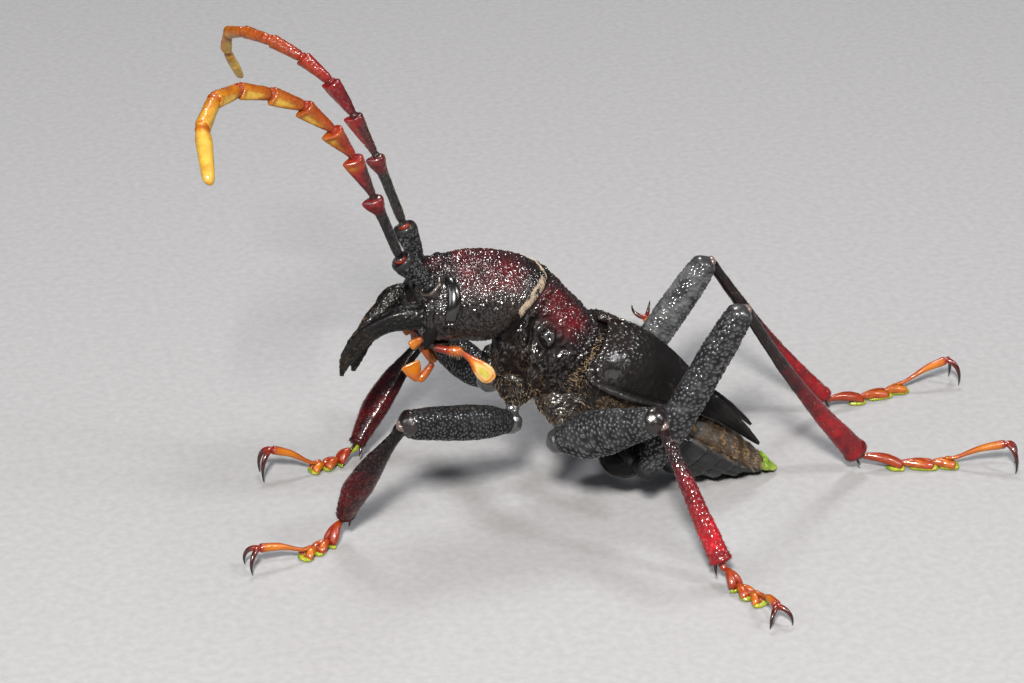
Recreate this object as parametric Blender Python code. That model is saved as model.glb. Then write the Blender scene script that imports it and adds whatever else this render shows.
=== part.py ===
"""A life-size male longhorn beetle, raised on its six legs with the feelers up and the jaws crossing.

Every length here is in millimetres until a mesh is made. The beetle faces -X, its left side is -Y, up is +Z and
the floor is z = 0. The body leans back at 45 degrees: a station is a distance along that slope from the front of
the pronotum, and a rise is a height square to it.
"""

import bpy
import numpy as np

MM = 0.001
GAP = 0.3
SHIFT_X = -1.72
SHIFT_Y = -1.25
SLOPE_X = -4.3
SLOPE_Z = 22.0
HALF = 0.5 ** 0.5
ACROSS = np.array([0.0, 1.0, 0.0])
UP_AXIS = np.array([0.0, 0.0, 1.0])
UPWARD = np.array([HALF, 0.0, HALF])
BACKWARD = np.array([HALF, 0.0, -HALF])
SIDES = {"left": -1.0, "right": 1.0}

BLACK = (0.012, 0.011, 0.011)
OXBLOOD = (0.06, 0.008, 0.010)
VELVET = (0.010, 0.010, 0.011)
WINE = (0.13, 0.010, 0.018)
ORANGE = (0.70, 0.16, 0.03)
LIME = (0.36, 0.62, 0.05)


def unit(vector):
    """The vector at length one."""
    vector = np.asarray(vector, float)
    return vector / np.linalg.norm(vector)


def slope(station, rise, y=0.0):
    """The place at a station and a rise of the leaning body."""
    base = np.array([SLOPE_X, y, SLOPE_Z])
    return base + station * BACKWARD + rise * UPWARD


def oval(centre, across, upward, width, above, below, power=2.0, count=16):
    """A closed ring: |sideways/width|^power + |rise/height|^power = 1, with its own height above and below."""
    angle = np.arange(count) / count * 2.0 * np.pi
    sine = np.sin(angle)
    cosine = np.cos(angle)
    sideways = np.sign(sine) * np.abs(sine) ** (2.0 / power) * width
    height = np.where(cosine > 0.0, above, below)
    rise = np.sign(cosine) * np.abs(cosine) ** (2.0 / power) * height
    return centre + np.outer(sideways, across) + np.outer(rise, upward)


def loft(rings):
    """The closed solid through rings of one count, each end shut by a fan round its middle."""
    count = len(rings[0])
    first = rings[0].mean(axis=0)[None]
    final = rings[-1].mean(axis=0)[None]
    points = np.vstack([first] + list(rings) + [final])
    last = len(points) - 1
    faces = []
    for i in range(count):
        j = (i + 1) % count
        faces.append((0, 1 + j, 1 + i))
        faces.append((last, last - count + i, last - count + j))
        for k in range(len(rings) - 1):
            a = 1 + k * count
            b = a + count
            faces.append((a + i, a + j, b + j, b + i))
    return points, faces


def shell(outer, inner):
    """The closed slab between two grids of one size, walled all round its edge."""
    rows, columns = outer.shape[:2]
    points = np.vstack([outer.reshape(-1, 3), inner.reshape(-1, 3)])
    under = rows * columns
    faces = []
    for i in range(rows - 1):
        for j in range(columns - 1):
            a = i * columns + j
            b = a + columns
            faces.append((a, a + 1, b + 1, b))
            faces.append((under + a, under + b, under + b + 1, under + a + 1))
    rim = [(0, j) for j in range(columns)]
    rim += [(i, columns - 1) for i in range(1, rows)]
    rim += [(rows - 1, j) for j in range(columns - 2, -1, -1)]
    rim += [(i, 0) for i in range(rows - 2, 0, -1)]
    for (i, j), (k, m) in zip(rim, rim[1:] + rim[:1]):
        a = i * columns + j
        b = k * columns + m
        faces.append((a, under + a, under + b, b))
    return points, faces


def through(controls, steps):
    """A smooth path through control points, with the given number of steps to each span."""
    p = np.asarray(controls, float)
    p = np.vstack([2.0 * p[0] - p[1], p, 2.0 * p[-1] - p[-2]])
    made = []
    for k in range(1, len(p) - 2):
        for i in range(steps):
            t = i / steps
            a = 2.0 * p[k]
            b = (p[k + 1] - p[k - 1]) * t
            c = (2.0 * p[k - 1] - 5.0 * p[k] + 4.0 * p[k + 1] - p[k + 2]) * t ** 2
            d = (3.0 * p[k] - p[k - 1] - 3.0 * p[k + 1] + p[k + 2]) * t ** 3
            made.append(0.5 * (a + b + c + d))
    made.append(p[-2])
    return np.array(made)


def tube(path, thick, broad, across, count=10):
    """A solid along a path: thick is the half width along the across direction, broad the one square to it."""
    path = np.asarray(path, float)
    share = np.linspace(0.0, 1.0, len(path))
    a = np.interp(share, np.linspace(0.0, 1.0, len(thick)), thick)
    b = np.interp(share, np.linspace(0.0, 1.0, len(broad)), broad)
    ahead = np.gradient(path, axis=0)
    rings = []
    for k in range(len(path)):
        d = unit(ahead[k])
        side = unit(np.asarray(across) - np.dot(across, d) * d)
        rings.append(oval(path[k], side, np.cross(side, d), a[k], b[k], b[k], 2.0, count))
    return loft(rings)


def ball(centre, radii, ahead=(1.0, 0.0, 0.0), count=10, rows=6):
    """An ellipsoid with its long way along ahead."""
    d = unit(ahead)
    side = unit(np.cross(UP_AXIS, d))
    rise = np.cross(d, side)
    rings = []
    for k in range(rows + 1):
        turn = np.pi * (0.08 + 0.84 * k / rows)
        middle = np.asarray(centre) - d * radii[0] * np.cos(turn)
        wide = radii[1] * np.sin(turn)
        tall = radii[2] * np.sin(turn)
        rings.append(oval(middle, side, rise, wide, tall, tall, 2.0, count))
    return loft(rings)


def volume_of(points, faces):
    """Six times the signed volume inside the faces."""
    total = 0.0
    for face in faces:
        for k in range(1, len(face) - 1):
            total += np.dot(points[face[0]], np.cross(points[face[k]], points[face[k + 1]]))
    return total


def mesh_object(name, solid):
    """A mesh object in metres, with its faces turned outwards."""
    points, faces = solid
    if volume_of(points, faces) < 0.0:
        faces = [tuple(reversed(face)) for face in faces]
    moved = (points + np.array([SHIFT_X, SHIFT_Y, 0.0])) * MM
    mesh = bpy.data.meshes.new(name)
    mesh.from_pydata(moved.tolist(), [], faces)
    mesh.update()
    return bpy.data.objects.new(name, mesh)


def largest(mesh):
    """Drops every separate surface of the mesh but the one with the largest box."""
    count = len(mesh.vertices)
    root = list(range(count))

    def find(i):
        while root[i] != i:
            root[i] = root[root[i]]
            i = root[i]
        return i

    for edge in mesh.edges:
        a = find(edge.vertices[0])
        b = find(edge.vertices[1])
        root[a] = b
    groups = {}
    for i in range(count):
        groups.setdefault(find(i), []).append(i)
    if len(groups) < 2:
        return mesh
    spread = {}
    for key, members in groups.items():
        places = np.array([mesh.vertices[i].co for i in members])
        spread[key] = np.prod(places.max(axis=0) - places.min(axis=0))
    keep = max(spread, key=spread.get)
    kept = groups[keep]
    index = {old: new for new, old in enumerate(kept)}
    points = [tuple(mesh.vertices[i].co) for i in kept]
    faces = [tuple(index[i] for i in p.vertices) for p in mesh.polygons if p.vertices[0] in index]
    clean = bpy.data.meshes.new(mesh.name)
    clean.from_pydata(points, [], faces)
    clean.update()
    return clean


def fused(name, solids):
    """One object from overlapping closed solids, joined by one union."""
    base = mesh_object(name, solids[0])
    bpy.context.scene.collection.objects.link(base)
    helpers = bpy.data.collections.new("cutters_" + name)
    bpy.context.scene.collection.children.link(helpers)
    helpers.hide_render = True
    for k, solid in enumerate(solids[1:]):
        piece = mesh_object(f"{name}_piece_{k}", solid)
        piece.display_type = "WIRE"
        piece.hide_render = True
        helpers.objects.link(piece)
    union = base.modifiers.new("union", "BOOLEAN")
    union.operation = "UNION"
    union.operand_type = "COLLECTION"
    union.collection = helpers
    union.solver = "EXACT"
    graph = bpy.context.evaluated_depsgraph_get()
    whole = bpy.data.meshes.new_from_object(base.evaluated_get(graph))
    for piece in list(helpers.objects):
        bpy.data.objects.remove(piece)
    bpy.data.collections.remove(helpers)
    bpy.data.objects.remove(base)
    return bpy.data.objects.new(name, largest(whole))


def carved(name, solid, cutters):
    """The solid with the cutters taken out of it."""
    base = mesh_object(name, solid) if isinstance(solid, tuple) else solid
    bpy.context.scene.collection.objects.link(base)
    helpers = bpy.data.collections.new("cutters_" + name)
    bpy.context.scene.collection.children.link(helpers)
    helpers.hide_render = True
    for k, cutter in enumerate(cutters):
        piece = mesh_object(f"{name}_cutter_{k}", cutter)
        piece.display_type = "WIRE"
        piece.hide_render = True
        helpers.objects.link(piece)
    cut = base.modifiers.new("cut", "BOOLEAN")
    cut.operation = "DIFFERENCE"
    cut.operand_type = "COLLECTION"
    cut.collection = helpers
    cut.solver = "EXACT"
    graph = bpy.context.evaluated_depsgraph_get()
    whole = bpy.data.meshes.new_from_object(base.evaluated_get(graph))
    for piece in list(helpers.objects):
        bpy.data.objects.remove(piece)
    bpy.data.collections.remove(helpers)
    bpy.data.objects.remove(base)
    return bpy.data.objects.new(name, largest(whole))


# The head: each row is x and z of its top, x and z of its underside, half width, share of the way down at which
# it is widest, how far its sides lie ahead.
HEAD = (
    (-16.30, 22.10, -16.30, 18.60, 3.60, 0.50, 0.0),
    (-15.95, 22.90, -16.05, 17.95, 3.95, 0.50, 0.0),
    (-15.20, 23.60, -15.40, 17.60, 4.15, 0.50, 0.0),
    (-14.00, 24.15, -14.40, 17.45, 4.35, 0.50, 0.0),
    (-12.20, 24.40, -13.10, 17.30, 4.45, 0.50, 0.0),
    (-10.20, 24.35, -11.80, 17.10, 4.55, 0.48, 0.0),
    (-8.30, 23.95, -10.70, 16.95, 4.55, 0.46, 0.30),
    (-6.35, 23.32, -9.75, 17.00, 4.40, 0.45, 0.75),
    (-4.80, 22.50, -8.77, 17.42, 4.10, 0.45, 1.15),
)
HEAD_POWER = 2.25
EYE_FROM = -14.55
EYE_TO = -13.15
EYE_HIGH = 26.0
EYE_LOW = 98.0


def head_ring(row, count=24, grow=0.0):
    """One ring of the head."""
    top = np.array([row[0], 0.0, row[1]])
    under = np.array([row[2], 0.0, row[3]])
    length = np.linalg.norm(top - under)
    upward = (top - under) / length
    middle = top - upward * length * row[5]
    above = length * row[5] + grow
    below = length * (1.0 - row[5]) + grow
    ring = oval(middle, ACROSS, upward, row[4] + grow, above, below, HEAD_POWER, count)
    return ring - np.outer(row[6] * (ring[:, 1] / (row[4] + grow)) ** 2, BACKWARD)


def head_row(x):
    """The head's sizes where its top is at x."""
    table = np.array(HEAD)
    return np.array([np.interp(x, table[:, 0], table[:, k]) for k in range(7)])


def head_spot(x, degrees, side, out):
    """A place on the head: x of its section, degrees round from the top, and how far out of the surface."""
    row = head_row(x)
    top = np.array([row[0], 0.0, row[1]])
    under = np.array([row[2], 0.0, row[3]])
    length = np.linalg.norm(top - under)
    upward = (top - under) / length
    angle = np.radians(degrees)
    middle = top - upward * length * row[5]
    tall = length * (row[5] if np.cos(angle) > 0.0 else 1.0 - row[5]) + out
    wide = row[4] + out
    power = 2.0 / HEAD_POWER
    sideways = abs(np.sin(angle)) ** power * wide * side
    rise = np.sign(np.cos(angle)) * abs(np.cos(angle)) ** power * tall
    return middle + sideways * ACROSS + rise * upward


def eye_solid(side, margin, out, depth):
    """A kidney-shaped lens on the side of the head, narrowed at its waist."""
    rows = 9
    columns = 5
    outer = np.zeros((rows, columns, 3))
    inner = np.zeros((rows, columns, 3))
    for i in range(rows):
        u = i / (rows - 1)
        degrees = EYE_HIGH - margin * 12.0 + u * (EYE_LOW - EYE_HIGH + margin * 24.0)
        ends = np.sqrt(max(0.0, 1.0 - (2.0 * u - 1.0) ** 4))
        half = (0.45 + 0.30 * u) * (0.35 + 0.65 * ends) + margin
        middle = 0.5 * (EYE_FROM + EYE_TO) + 0.35 * np.sin(np.pi * u)
        for j in range(columns):
            v = 2.0 * j / (columns - 1) - 1.0
            swell = out * np.cos(0.5 * np.pi * v * 0.9) * (0.3 + 0.7 * ends)
            outer[i, j] = head_spot(middle + v * half, degrees, side, swell)
            inner[i, j] = head_spot(middle + v * half, degrees, side, -depth)
    return shell(outer, inner)


SOCKET = {
    "left": (np.array([-15.45, -2.4, 23.2]), unit((-2.8, -0.5, 3.1))),
    "right": (np.array([-15.35, 2.4, 23.3]), unit((-1.4, 0.25, 3.8))),
}


def head():
    """The head capsule with its feeler sockets, cheek teeth and lip, hollowed for the eyes."""
    solids = [loft([head_ring(row) for row in HEAD])]
    for name, side in SIDES.items():
        place, ahead = SOCKET[name]
        path = [place - 2.2 * ahead, place - 0.9 * ahead, place]
        solids.append(tube(path, (0.9, 1.05, 0.95), (0.9, 1.05, 0.95), ACROSS, 12))
        tooth = [(-15.4, side * 3.2, 19.8), (-15.9, side * 3.7, 18.7), (-16.25, side * 3.9, 17.9)]
        solids.append(tube(tooth, (0.9, 0.6, 0.12), (0.9, 0.6, 0.12), ACROSS, 8))
    lip = [(-15.4, 0.0, 21.2), (-16.4, 0.0, 21.0), (-17.3, 0.0, 20.3)]
    solids.append(tube(lip, (1.5, 1.35, 0.9), (0.7, 0.5, 0.2), ACROSS, 12))
    whole = fused("head", solids)
    points = [eye_solid(side, 0.42, 1.2, 0.98) for side in SIDES.values()]
    return carved("head", whole, points)


# The leaning body: each row is station, half width, rise of the top, rise at which it is widest, rise of the
# underside.
PROTHORAX = (
    (-0.28, 4.30, 0.00, -3.0, -6.7),
    (0.85, 4.75, 0.00, -3.3, -8.6),
    (2.50, 4.95, -0.15, -3.6, -9.8),
    (4.20, 4.80, -0.20, -4.0, -10.1),
    (5.50, 4.45, -0.25, -4.2, -9.6),
    (6.30, 4.05, -0.35, -4.3, -8.9),
)
THORAX = (
    (6.60, 3.85, -0.55, -4.4, -8.9),
    (8.00, 3.90, -0.25, -4.8, -9.3),
    (10.0, 3.95, 0.20, -5.0, -9.3),
    (12.0, 3.95, 0.45, -4.8, -8.9),
    (14.0, 3.85, 0.50, -4.3, -8.5),
    (16.0, 3.65, 0.35, -3.8, -8.3),
    (17.6, 3.45, 0.15, -3.4, -8.0),
)
ABDOMEN = (
    (17.9, 3.50, 0.10, -3.3, -7.8),
    (19.5, 3.70, 0.05, -2.8, -7.3),
    (21.5, 3.75, 0.00, -2.3, -6.7),
    (23.5, 3.40, -0.05, -2.0, -5.8),
    (25.3, 2.90, -0.10, -1.7, -4.5),
    (27.0, 2.20, -0.10, -1.3, -3.0),
    (28.3, 1.60, 0.00, -0.9, -1.8),
)
TIP = (
    (28.6, 1.50, 0.10, -0.80, -1.50),
    (29.4, 1.30, 0.20, -0.50, -1.00),
    (30.1, 0.90, 0.15, -0.25, -0.60),
    (30.5, 0.35, 0.05, -0.15, -0.35),
)
SKEW = 0.11
COLLAR_AHEAD = 1.15
PROTHORAX_POWER = 2.2


def body_ring(row, power=2.0, count=20, skew=0.0, forward=0.0):
    """One ring of the leaning body; its sides may lie ahead of its top and its underside behind."""
    station, width, top, middle, under = row
    ring = oval(slope(station, middle), ACROSS, UPWARD, width, top - middle, middle - under, power, count)
    rise = (ring - slope(station, top)) @ UPWARD
    ring = ring - np.outer(rise * skew, BACKWARD)
    return ring - np.outer(forward * (ring[:, 1] / width) ** 2, BACKWARD)


SPINE_PLACE = {"station": 1.64, "rise": -3.0, "root": 3.6, "tip": 5.9}
COXA = {
    "front": (np.array([-7.7, 2.2, 13.1]), np.array([-8.4, 3.5, 11.2]), 1.8, 1.15),
    "middle": (np.array([-3.4, 2.4, 10.9]), np.array([-4.4, 5.0, 9.5]), 1.65, 1.10),
    "hind": (np.array([2.2, 2.2, 6.3]), np.array([2.6, 5.5, 5.3]), 1.5, 1.00),
}


def coxa(pair, side):
    """The stub of a hip, ending in a flat that faces the leg."""
    root, end, thick, thin = COXA[pair]
    flip = np.array([1.0, side, 1.0])
    root = root * flip
    end = end * flip
    path = [root, 0.5 * (root + end), end]
    radii = (thick, 0.5 * (thick + thin) + 0.15, thin)
    return tube(path, radii, radii, (1.0, 0.0, 0.0), 12)


def prothorax():
    """The collar of the body with its side spines and the front hips."""
    rings = []
    for row in PROTHORAX:
        lean = SKEW * (1.0 - (row[0] - PROTHORAX[0][0]) / (PROTHORAX[-1][0] - PROTHORAX[0][0]))
        rings.append(body_ring(row, PROTHORAX_POWER, 24, lean, COLLAR_AHEAD * max(0.0, 1.0 - (row[0] + 0.28) / 4.0)))
    solids = [loft(rings)]
    for side in SIDES.values():
        root = slope(SPINE_PLACE["station"], SPINE_PLACE["rise"], side * SPINE_PLACE["root"])
        tip = slope(SPINE_PLACE["station"] - 0.3, SPINE_PLACE["rise"], side * SPINE_PLACE["tip"])
        solids.append(tube([root, 0.5 * (root + tip), tip], (1.5, 1.1, 0.3), (1.2, 0.9, 0.3), UPWARD, 10))
        solids.append(coxa("front", side))
    return fused("prothorax", solids)


def thorax():
    """The middle body under the wing cases, with the four rear hips."""
    solids = [loft([body_ring(row, 2.1, 24) for row in THORAX])]
    for side in SIDES.values():
        solids.append(coxa("middle", side))
        solids.append(coxa("hind", side))
    return fused("thorax", solids)


# The wing cases: each row is station, rise of the seam, rise of the outer edge, width, distance of the seam from
# the midline.
WING_CASE = (
    (6.9, 0.30, -3.90, 3.60, 1.00),
    (7.8, 0.65, -4.20, 3.95, 0.75),
    (9.0, 1.15, -4.10, 4.50, 0.22),
    (10.5, 1.60, -3.70, 4.70, 0.15),
    (12.2, 1.85, -3.10, 4.70, 0.15),
    (14.0, 1.90, -2.30, 4.55, 0.15),
    (16.0, 1.80, -1.40, 4.15, 0.15),
    (18.0, 1.60, -0.60, 3.45, 0.20),
    (20.0, 1.45, -0.15, 2.65, 0.45),
    (22.0, 1.35, 0.20, 1.85, 0.85),
    (24.0, 1.25, 0.45, 1.25, 1.12),
    (25.6, 1.10, 0.60, 0.78, 1.25),
    (26.6, 0.95, 0.70, 0.25, 1.40),
)
CASE_THICK = (0.55, 0.40)
ROOF = 1.12
SHOULDER = {"station": 8.7, "turn": 62.0, "rise": 0.30, "long": 1.2, "wide": 17.0}


def wing_case(name, side, lift):
    """One wing case: a shell over the back, humped at the base and drawn out to a free point."""
    columns = 9
    rows = len(WING_CASE)
    outer = np.zeros((rows, columns, 3))
    inner = np.zeros((rows, columns, 3))
    for i, (station, seam, edge, width, apart) in enumerate(WING_CASE):
        tail = max(0.0, (station - 18.0) / 8.6)
        thick = np.interp(station, (7.0, 26.0), CASE_THICK) * min(1.0, width)
        for j in range(columns):
            turn = 90.0 * j / (columns - 1)
            angle = np.radians(turn)
            near = ((station - SHOULDER["station"]) / SHOULDER["long"]) ** 2
            near += ((turn - SHOULDER["turn"]) / SHOULDER["wide"]) ** 2
            bump = SHOULDER["rise"] * np.exp(-near)
            rise = edge + (seam - edge + bump) * np.cos(angle) ** ROOF
            wide = apart + lift * tail + (width + bump) * np.sin(angle) ** ROOF
            outer[i, j] = slope(station, rise + lift * tail, side * wide)
            rise = edge + (seam - edge - thick) * np.cos(angle) ** ROOF
            wide = apart + lift * tail + (width - thick) * np.sin(angle) ** ROOF
            inner[i, j] = slope(station, rise + lift * tail, side * wide)
    return mesh_object(name, shell(outer, inner))


SCUTELLUM = (
    (6.90, 0.65, 0.70, 0.20, -0.10),
    (7.60, 0.50, 0.95, 0.50, 0.20),
    (8.30, 0.12, 1.05, 0.75, 0.50),
)


def scutellum():
    """The small plate between the bases of the wing cases."""
    return mesh_object("scutellum", loft([body_ring(row, 2.4, 12) for row in SCUTELLUM]))


MANDIBLE = {
    "left": ((-16.65, -2.9, 20.6), (-17.8, -2.95, 20.6), (-19.4, -2.6, 20.1), (-21.0, -1.9, 18.9),
             (-22.2, -1.25, 17.0), (-22.75, -0.9, 15.8), (-23.0, -0.7, 14.6)),
    "right": ((-16.65, 2.9, 20.0), (-17.5, 2.8, 19.9), (-18.6, 2.1, 19.2), (-19.8, 1.4, 18.3),
              (-20.8, 0.95, 17.0), (-21.4, 0.8, 15.7), (-21.75, 0.6, 14.3)),
}
MANDIBLE_THICK = (1.0, 0.95, 0.8, 0.65, 0.5, 0.35, 0.10)
MANDIBLE_BROAD = (1.15, 1.15, 0.9, 0.9, 0.85, 0.6, 0.10)


def mandible(name, side_name):
    """A sickle jaw, hooked down and in to its point."""
    path = through(MANDIBLE[side_name], 2)
    return mesh_object(name, tube(path, MANDIBLE_THICK, MANDIBLE_BROAD, ACROSS, 10))


PALP_LONG = ((-15.0, 2.6, 17.2), (-14.2, 3.0, 17.15), (-13.0, 3.3, 17.0), (-12.1, 3.5, 16.3), (-11.2, 3.8, 15.3),
             (-10.3, 4.0, 14.2))
PALP_BENT = ((-16.3, -1.0, 17.2), (-16.0, -0.9, 16.4), (-14.7, -0.8, 14.8), (-14.7, -0.7, 14.2),
             (-15.3, -0.6, 13.4), (-16.0, -0.5, 12.7))
PALP_THICK = (0.35, 0.38, 0.32, 0.30, 0.32, 0.28)
PALP_BROAD = (0.40, 0.42, 0.36, 0.50, 0.85, 0.55)
BENT_BROAD = (0.40, 0.36, 0.45, 0.38, 0.40, 0.36)


def palp_left():
    """The near feeding palp, ending in a flat spoon."""
    path = [(x, -y, z) for x, y, z in PALP_LONG]
    return mesh_object("palp_left", tube(through(path, 2), PALP_THICK, PALP_BROAD, ACROSS, 8))


def palp_right():
    """The far feeding palp, folded back on itself to a flat triangle."""
    path = [(x, -y, z) for x, y, z in PALP_BENT]
    arm = tube(through(path, 2), (0.36, 0.34, 0.34, 0.32), BENT_BROAD, ACROSS, 8)
    fan = [(-16.0, 0.5, 12.8), (-16.4, 0.45, 13.6), (-16.75, 0.4, 14.6)]
    blade = tube(fan, (0.28, 0.26, 0.2), (0.35, 0.7, 0.95), ACROSS, 10)
    return fused("palp_right", [arm, blade])


FEELER = {
    "left": ((-18.0, -2.8, 26.0), (-20.4, -3.8, 32.4), (-22.1, -4.4, 36.4), (-23.9, -5.2, 39.3),
             (-26.3, -5.7, 41.8), (-29.2, -6.7, 43.5), (-32.0, -8.3, 44.7), (-34.3, -10.7, 45.0),
             (-35.9, -13.7, 43.9), (-36.1, -18.0, 40.8)),
    "right": ((-16.6, 2.6, 26.7), (-18.9, 2.9, 33.4), (-20.7, 3.0, 37.2), (-22.5, 3.5, 40.2),
              (-24.7, 4.5, 42.2), (-27.0, 6.6, 43.2), (-28.9, 9.3, 43.2), (-29.9, 12.3, 42.2),
              (-29.8, 14.9, 39.7), (-28.1, 18.2, 35.7)),
}
JOINT_NARROW = (0.42, 0.42, 0.42, 0.42, 0.42, 0.42, 0.40, 0.38, 0.36)
JOINT_WIDE = (0.78, 0.76, 0.74, 0.72, 0.72, 0.70, 0.66, 0.60, 0.48)
LOWER_JOINTS = 3


def scape(name, side_name):
    """The first joint of a feeler, swelling to a cup."""
    place, ahead = SOCKET[side_name]
    end = np.array(FEELER[side_name][0])
    start = place + GAP * ahead
    path = [start + (end - start) * k for k in (0.0, 0.2, 0.55, 0.8, 0.93, 1.0)]
    radii = (0.55, 0.68, 0.85, 1.05, 1.05, 0.75)
    return mesh_object(name, tube(path, radii, radii, ACROSS, 12))


def feeler(name, side_name, first, last):
    """A run of feeler joints, each narrow at its root and flared at its end."""
    places = [np.array(p) for p in FEELER[side_name]]
    path = []
    radii = []
    for k in range(first, last):
        a = places[k]
        b = places[k + 1]
        reach = np.linalg.norm(b - a)
        begin = (GAP + 0.12) / reach if k == first else 0.10
        close = GAP * 0.35 / reach if k == last - 1 else 0.0
        stops = (begin, 0.35, 0.80, 0.93, 1.0 - close)
        narrow = JOINT_NARROW[k]
        wide = JOINT_WIDE[k]
        for stop, share in zip(stops, (0.0, 0.30, 0.80, 1.0, 0.45)):
            path.append(a + (b - a) * stop)
            radii.append(narrow + (wide - narrow) * share)
        if k == 8:
            radii[-1] = 0.15
    return mesh_object(name, tube(path, radii, radii, ACROSS, 8))


# The legs: knee, ankle, end of the pads, and root of the claws.
LEGS = {
    "front_left": ("front", -1.0, (-19.1, -8.5, 13.3), (-23.6, -3.9, 2.4), (-27.8, -6.5, 0.8), (-31.8, -7.2, 2.1)),
    "front_right": ("front", 1.0, (-12.1, 14.8, 10.6), (-19.9, 10.5, 1.7), (-24.3, 9.3, 0.8), (-28.0, 9.2, 2.9)),
    "middle_left": ("middle", -1.0, (2.2, -13.2, 13.4), (6.4, -18.7, 2.0), (8.7, -23.2, 0.8), (9.0, -26.2, 1.7)),
    "middle_right": ("middle", 1.0, (3.0, 13.2, 10.0), (12.2, 21.2, 1.8), (13.4, 26.2, 0.8), (12.8, 28.6, 2.9)),
    "hind_left": ("hind", -1.0, (11.1, -7.6, 20.5), (24.5, -1.8, 1.8), (33.5, -3.3, 0.8), (37.8, -4.8, 2.7)),
    "hind_right": ("hind", 1.0, (12.4, 7.2, 18.5), (25.5, 10.2, 1.6), (34.3, 12.6, 0.8), (38.7, 13.2, 2.6)),
}
FEMUR_BROAD = {
    "front": (1.00, 1.20, 1.60, 1.70, 1.60, 1.45, 1.20, 0.75),
    "middle": (1.00, 1.40, 2.00, 2.00, 1.75, 1.45, 1.15, 0.75),
    "hind": (0.95, 1.10, 1.50, 1.55, 1.50, 1.40, 1.15, 0.75),
}
FEMUR_THICK = {
    "front": (1.00, 1.10, 1.30, 1.40, 1.35, 1.25, 1.05, 0.70),
    "middle": (1.05, 1.20, 1.45, 1.45, 1.35, 1.25, 1.05, 0.70),
    "hind": (0.85, 0.90, 1.05, 1.15, 1.20, 1.15, 1.05, 0.70),
}
TIBIA_BROAD = {
    "front": (0.55, 0.75, 1.25, 1.50, 1.15, 0.75),
    "middle": (0.45, 0.52, 0.68, 0.82, 0.95, 1.00),
    "hind": (0.50, 0.52, 0.58, 0.72, 0.95, 1.15),
    "hind_right": (0.50, 0.52, 0.55, 0.60, 0.66, 0.72),
}
TIBIA_THICK = {
    "front": (0.50, 0.60, 0.85, 1.00, 0.85, 0.65),
    "middle": (0.45, 0.55, 0.65, 0.75, 0.80, 0.80),
    "hind": (0.45, 0.48, 0.52, 0.58, 0.68, 0.78),
    "hind_right": (0.45, 0.48, 0.50, 0.53, 0.58, 0.62),
}
SHIN_BOW = {"front": -0.70, "middle": 0.0, "hind": 0.45}
KNEE = 1.25
KNEE_END = 0.35
KNUCKLE = 1.0
KNUCKLE_SIZE = 1.16
HIP_GAP = {"front": GAP, "middle": GAP + 0.16, "hind": GAP + 0.16}
PAD_LENGTH = {"front": 1.15, "middle": 1.0, "hind": 1.45}
PAD_WIDTH = 0.85
PAD_HEIGHT = 0.72
PAD_SINK = 0.635
RAISED = "middle_right"


def leg_points(name):
    """The pair, the side and the named points of one leg."""
    pair, side, knee, ankle, pads, claws = LEGS[name]
    root, end = COXA[pair][:2]
    flip = np.array([1.0, side, 1.0])
    root = root * flip
    end = end * flip
    return pair, end, unit(end - root), np.array(knee), np.array(ankle), np.array(pads), np.array(claws)


def femur(name):
    """The thigh: a knuckle at the hip, then a run that swells and is rounded at the knee."""
    pair, hip, ahead, knee, ankle = leg_points(name)[:5]
    along = unit(knee - hip)
    hinge = unit(np.cross(along, ankle - knee))
    start = hip + HIP_GAP[pair] * ahead
    bend = start + KNUCKLE * ahead
    end = knee + KNEE_END * along
    stops = (0.0, 0.10, 0.22, 0.42, 0.62, 0.82, 0.95, 1.0)
    run = [bend + (end - bend) * stop for stop in stops]
    neck = FEMUR_THICK[pair][0]
    solids = [
        tube(run, FEMUR_THICK[pair], FEMUR_BROAD[pair], hinge, 12),
        tube([start, bend], (neck, neck), (neck, neck), hinge, 12),
        ball(bend, (KNUCKLE_SIZE, KNUCKLE_SIZE, KNUCKLE_SIZE), ahead, 12, 7),
    ]
    return fused("femur_" + name, solids)


def shin_start(name):
    """Where the shin begins: clear of the knee by the gap, past its side or, on a straightened leg, past its end."""
    pair, hip, ahead, knee, ankle = leg_points(name)[:5]
    along = unit(knee - hip)
    down = unit(ankle - knee)
    cosine = np.dot(along, down)
    sine = np.sqrt(1.0 - cosine ** 2)
    past_side = (KNEE + GAP + abs(cosine) * TIBIA_BROAD[pair][0]) / sine
    past_end = (KNEE_END + GAP + sine * TIBIA_BROAD[pair][0]) / max(cosine, 0.01)
    return knee + down * min(past_side, past_end)


def tibia(name):
    """The shin, widening to a flat end over the foot."""
    pair, hip, ahead, knee, ankle = leg_points(name)[:5]
    along = unit(knee - hip)
    hinge = unit(np.cross(along, ankle - knee))
    start = shin_start(name)
    bow = np.cross(hinge, unit(ankle - start)) * SHIN_BOW[pair]
    path = []
    for k in (0.0, 0.15, 0.35, 0.6, 0.82, 1.0):
        path.append(start + (ankle - start) * k + bow * np.sin(np.pi * k))
    thick = TIBIA_THICK.get(name, TIBIA_THICK[pair])
    broad = TIBIA_BROAD.get(name, TIBIA_BROAD[pair])
    return mesh_object("tibia_" + name, tube(path, thick, broad, hinge, 12))


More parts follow.
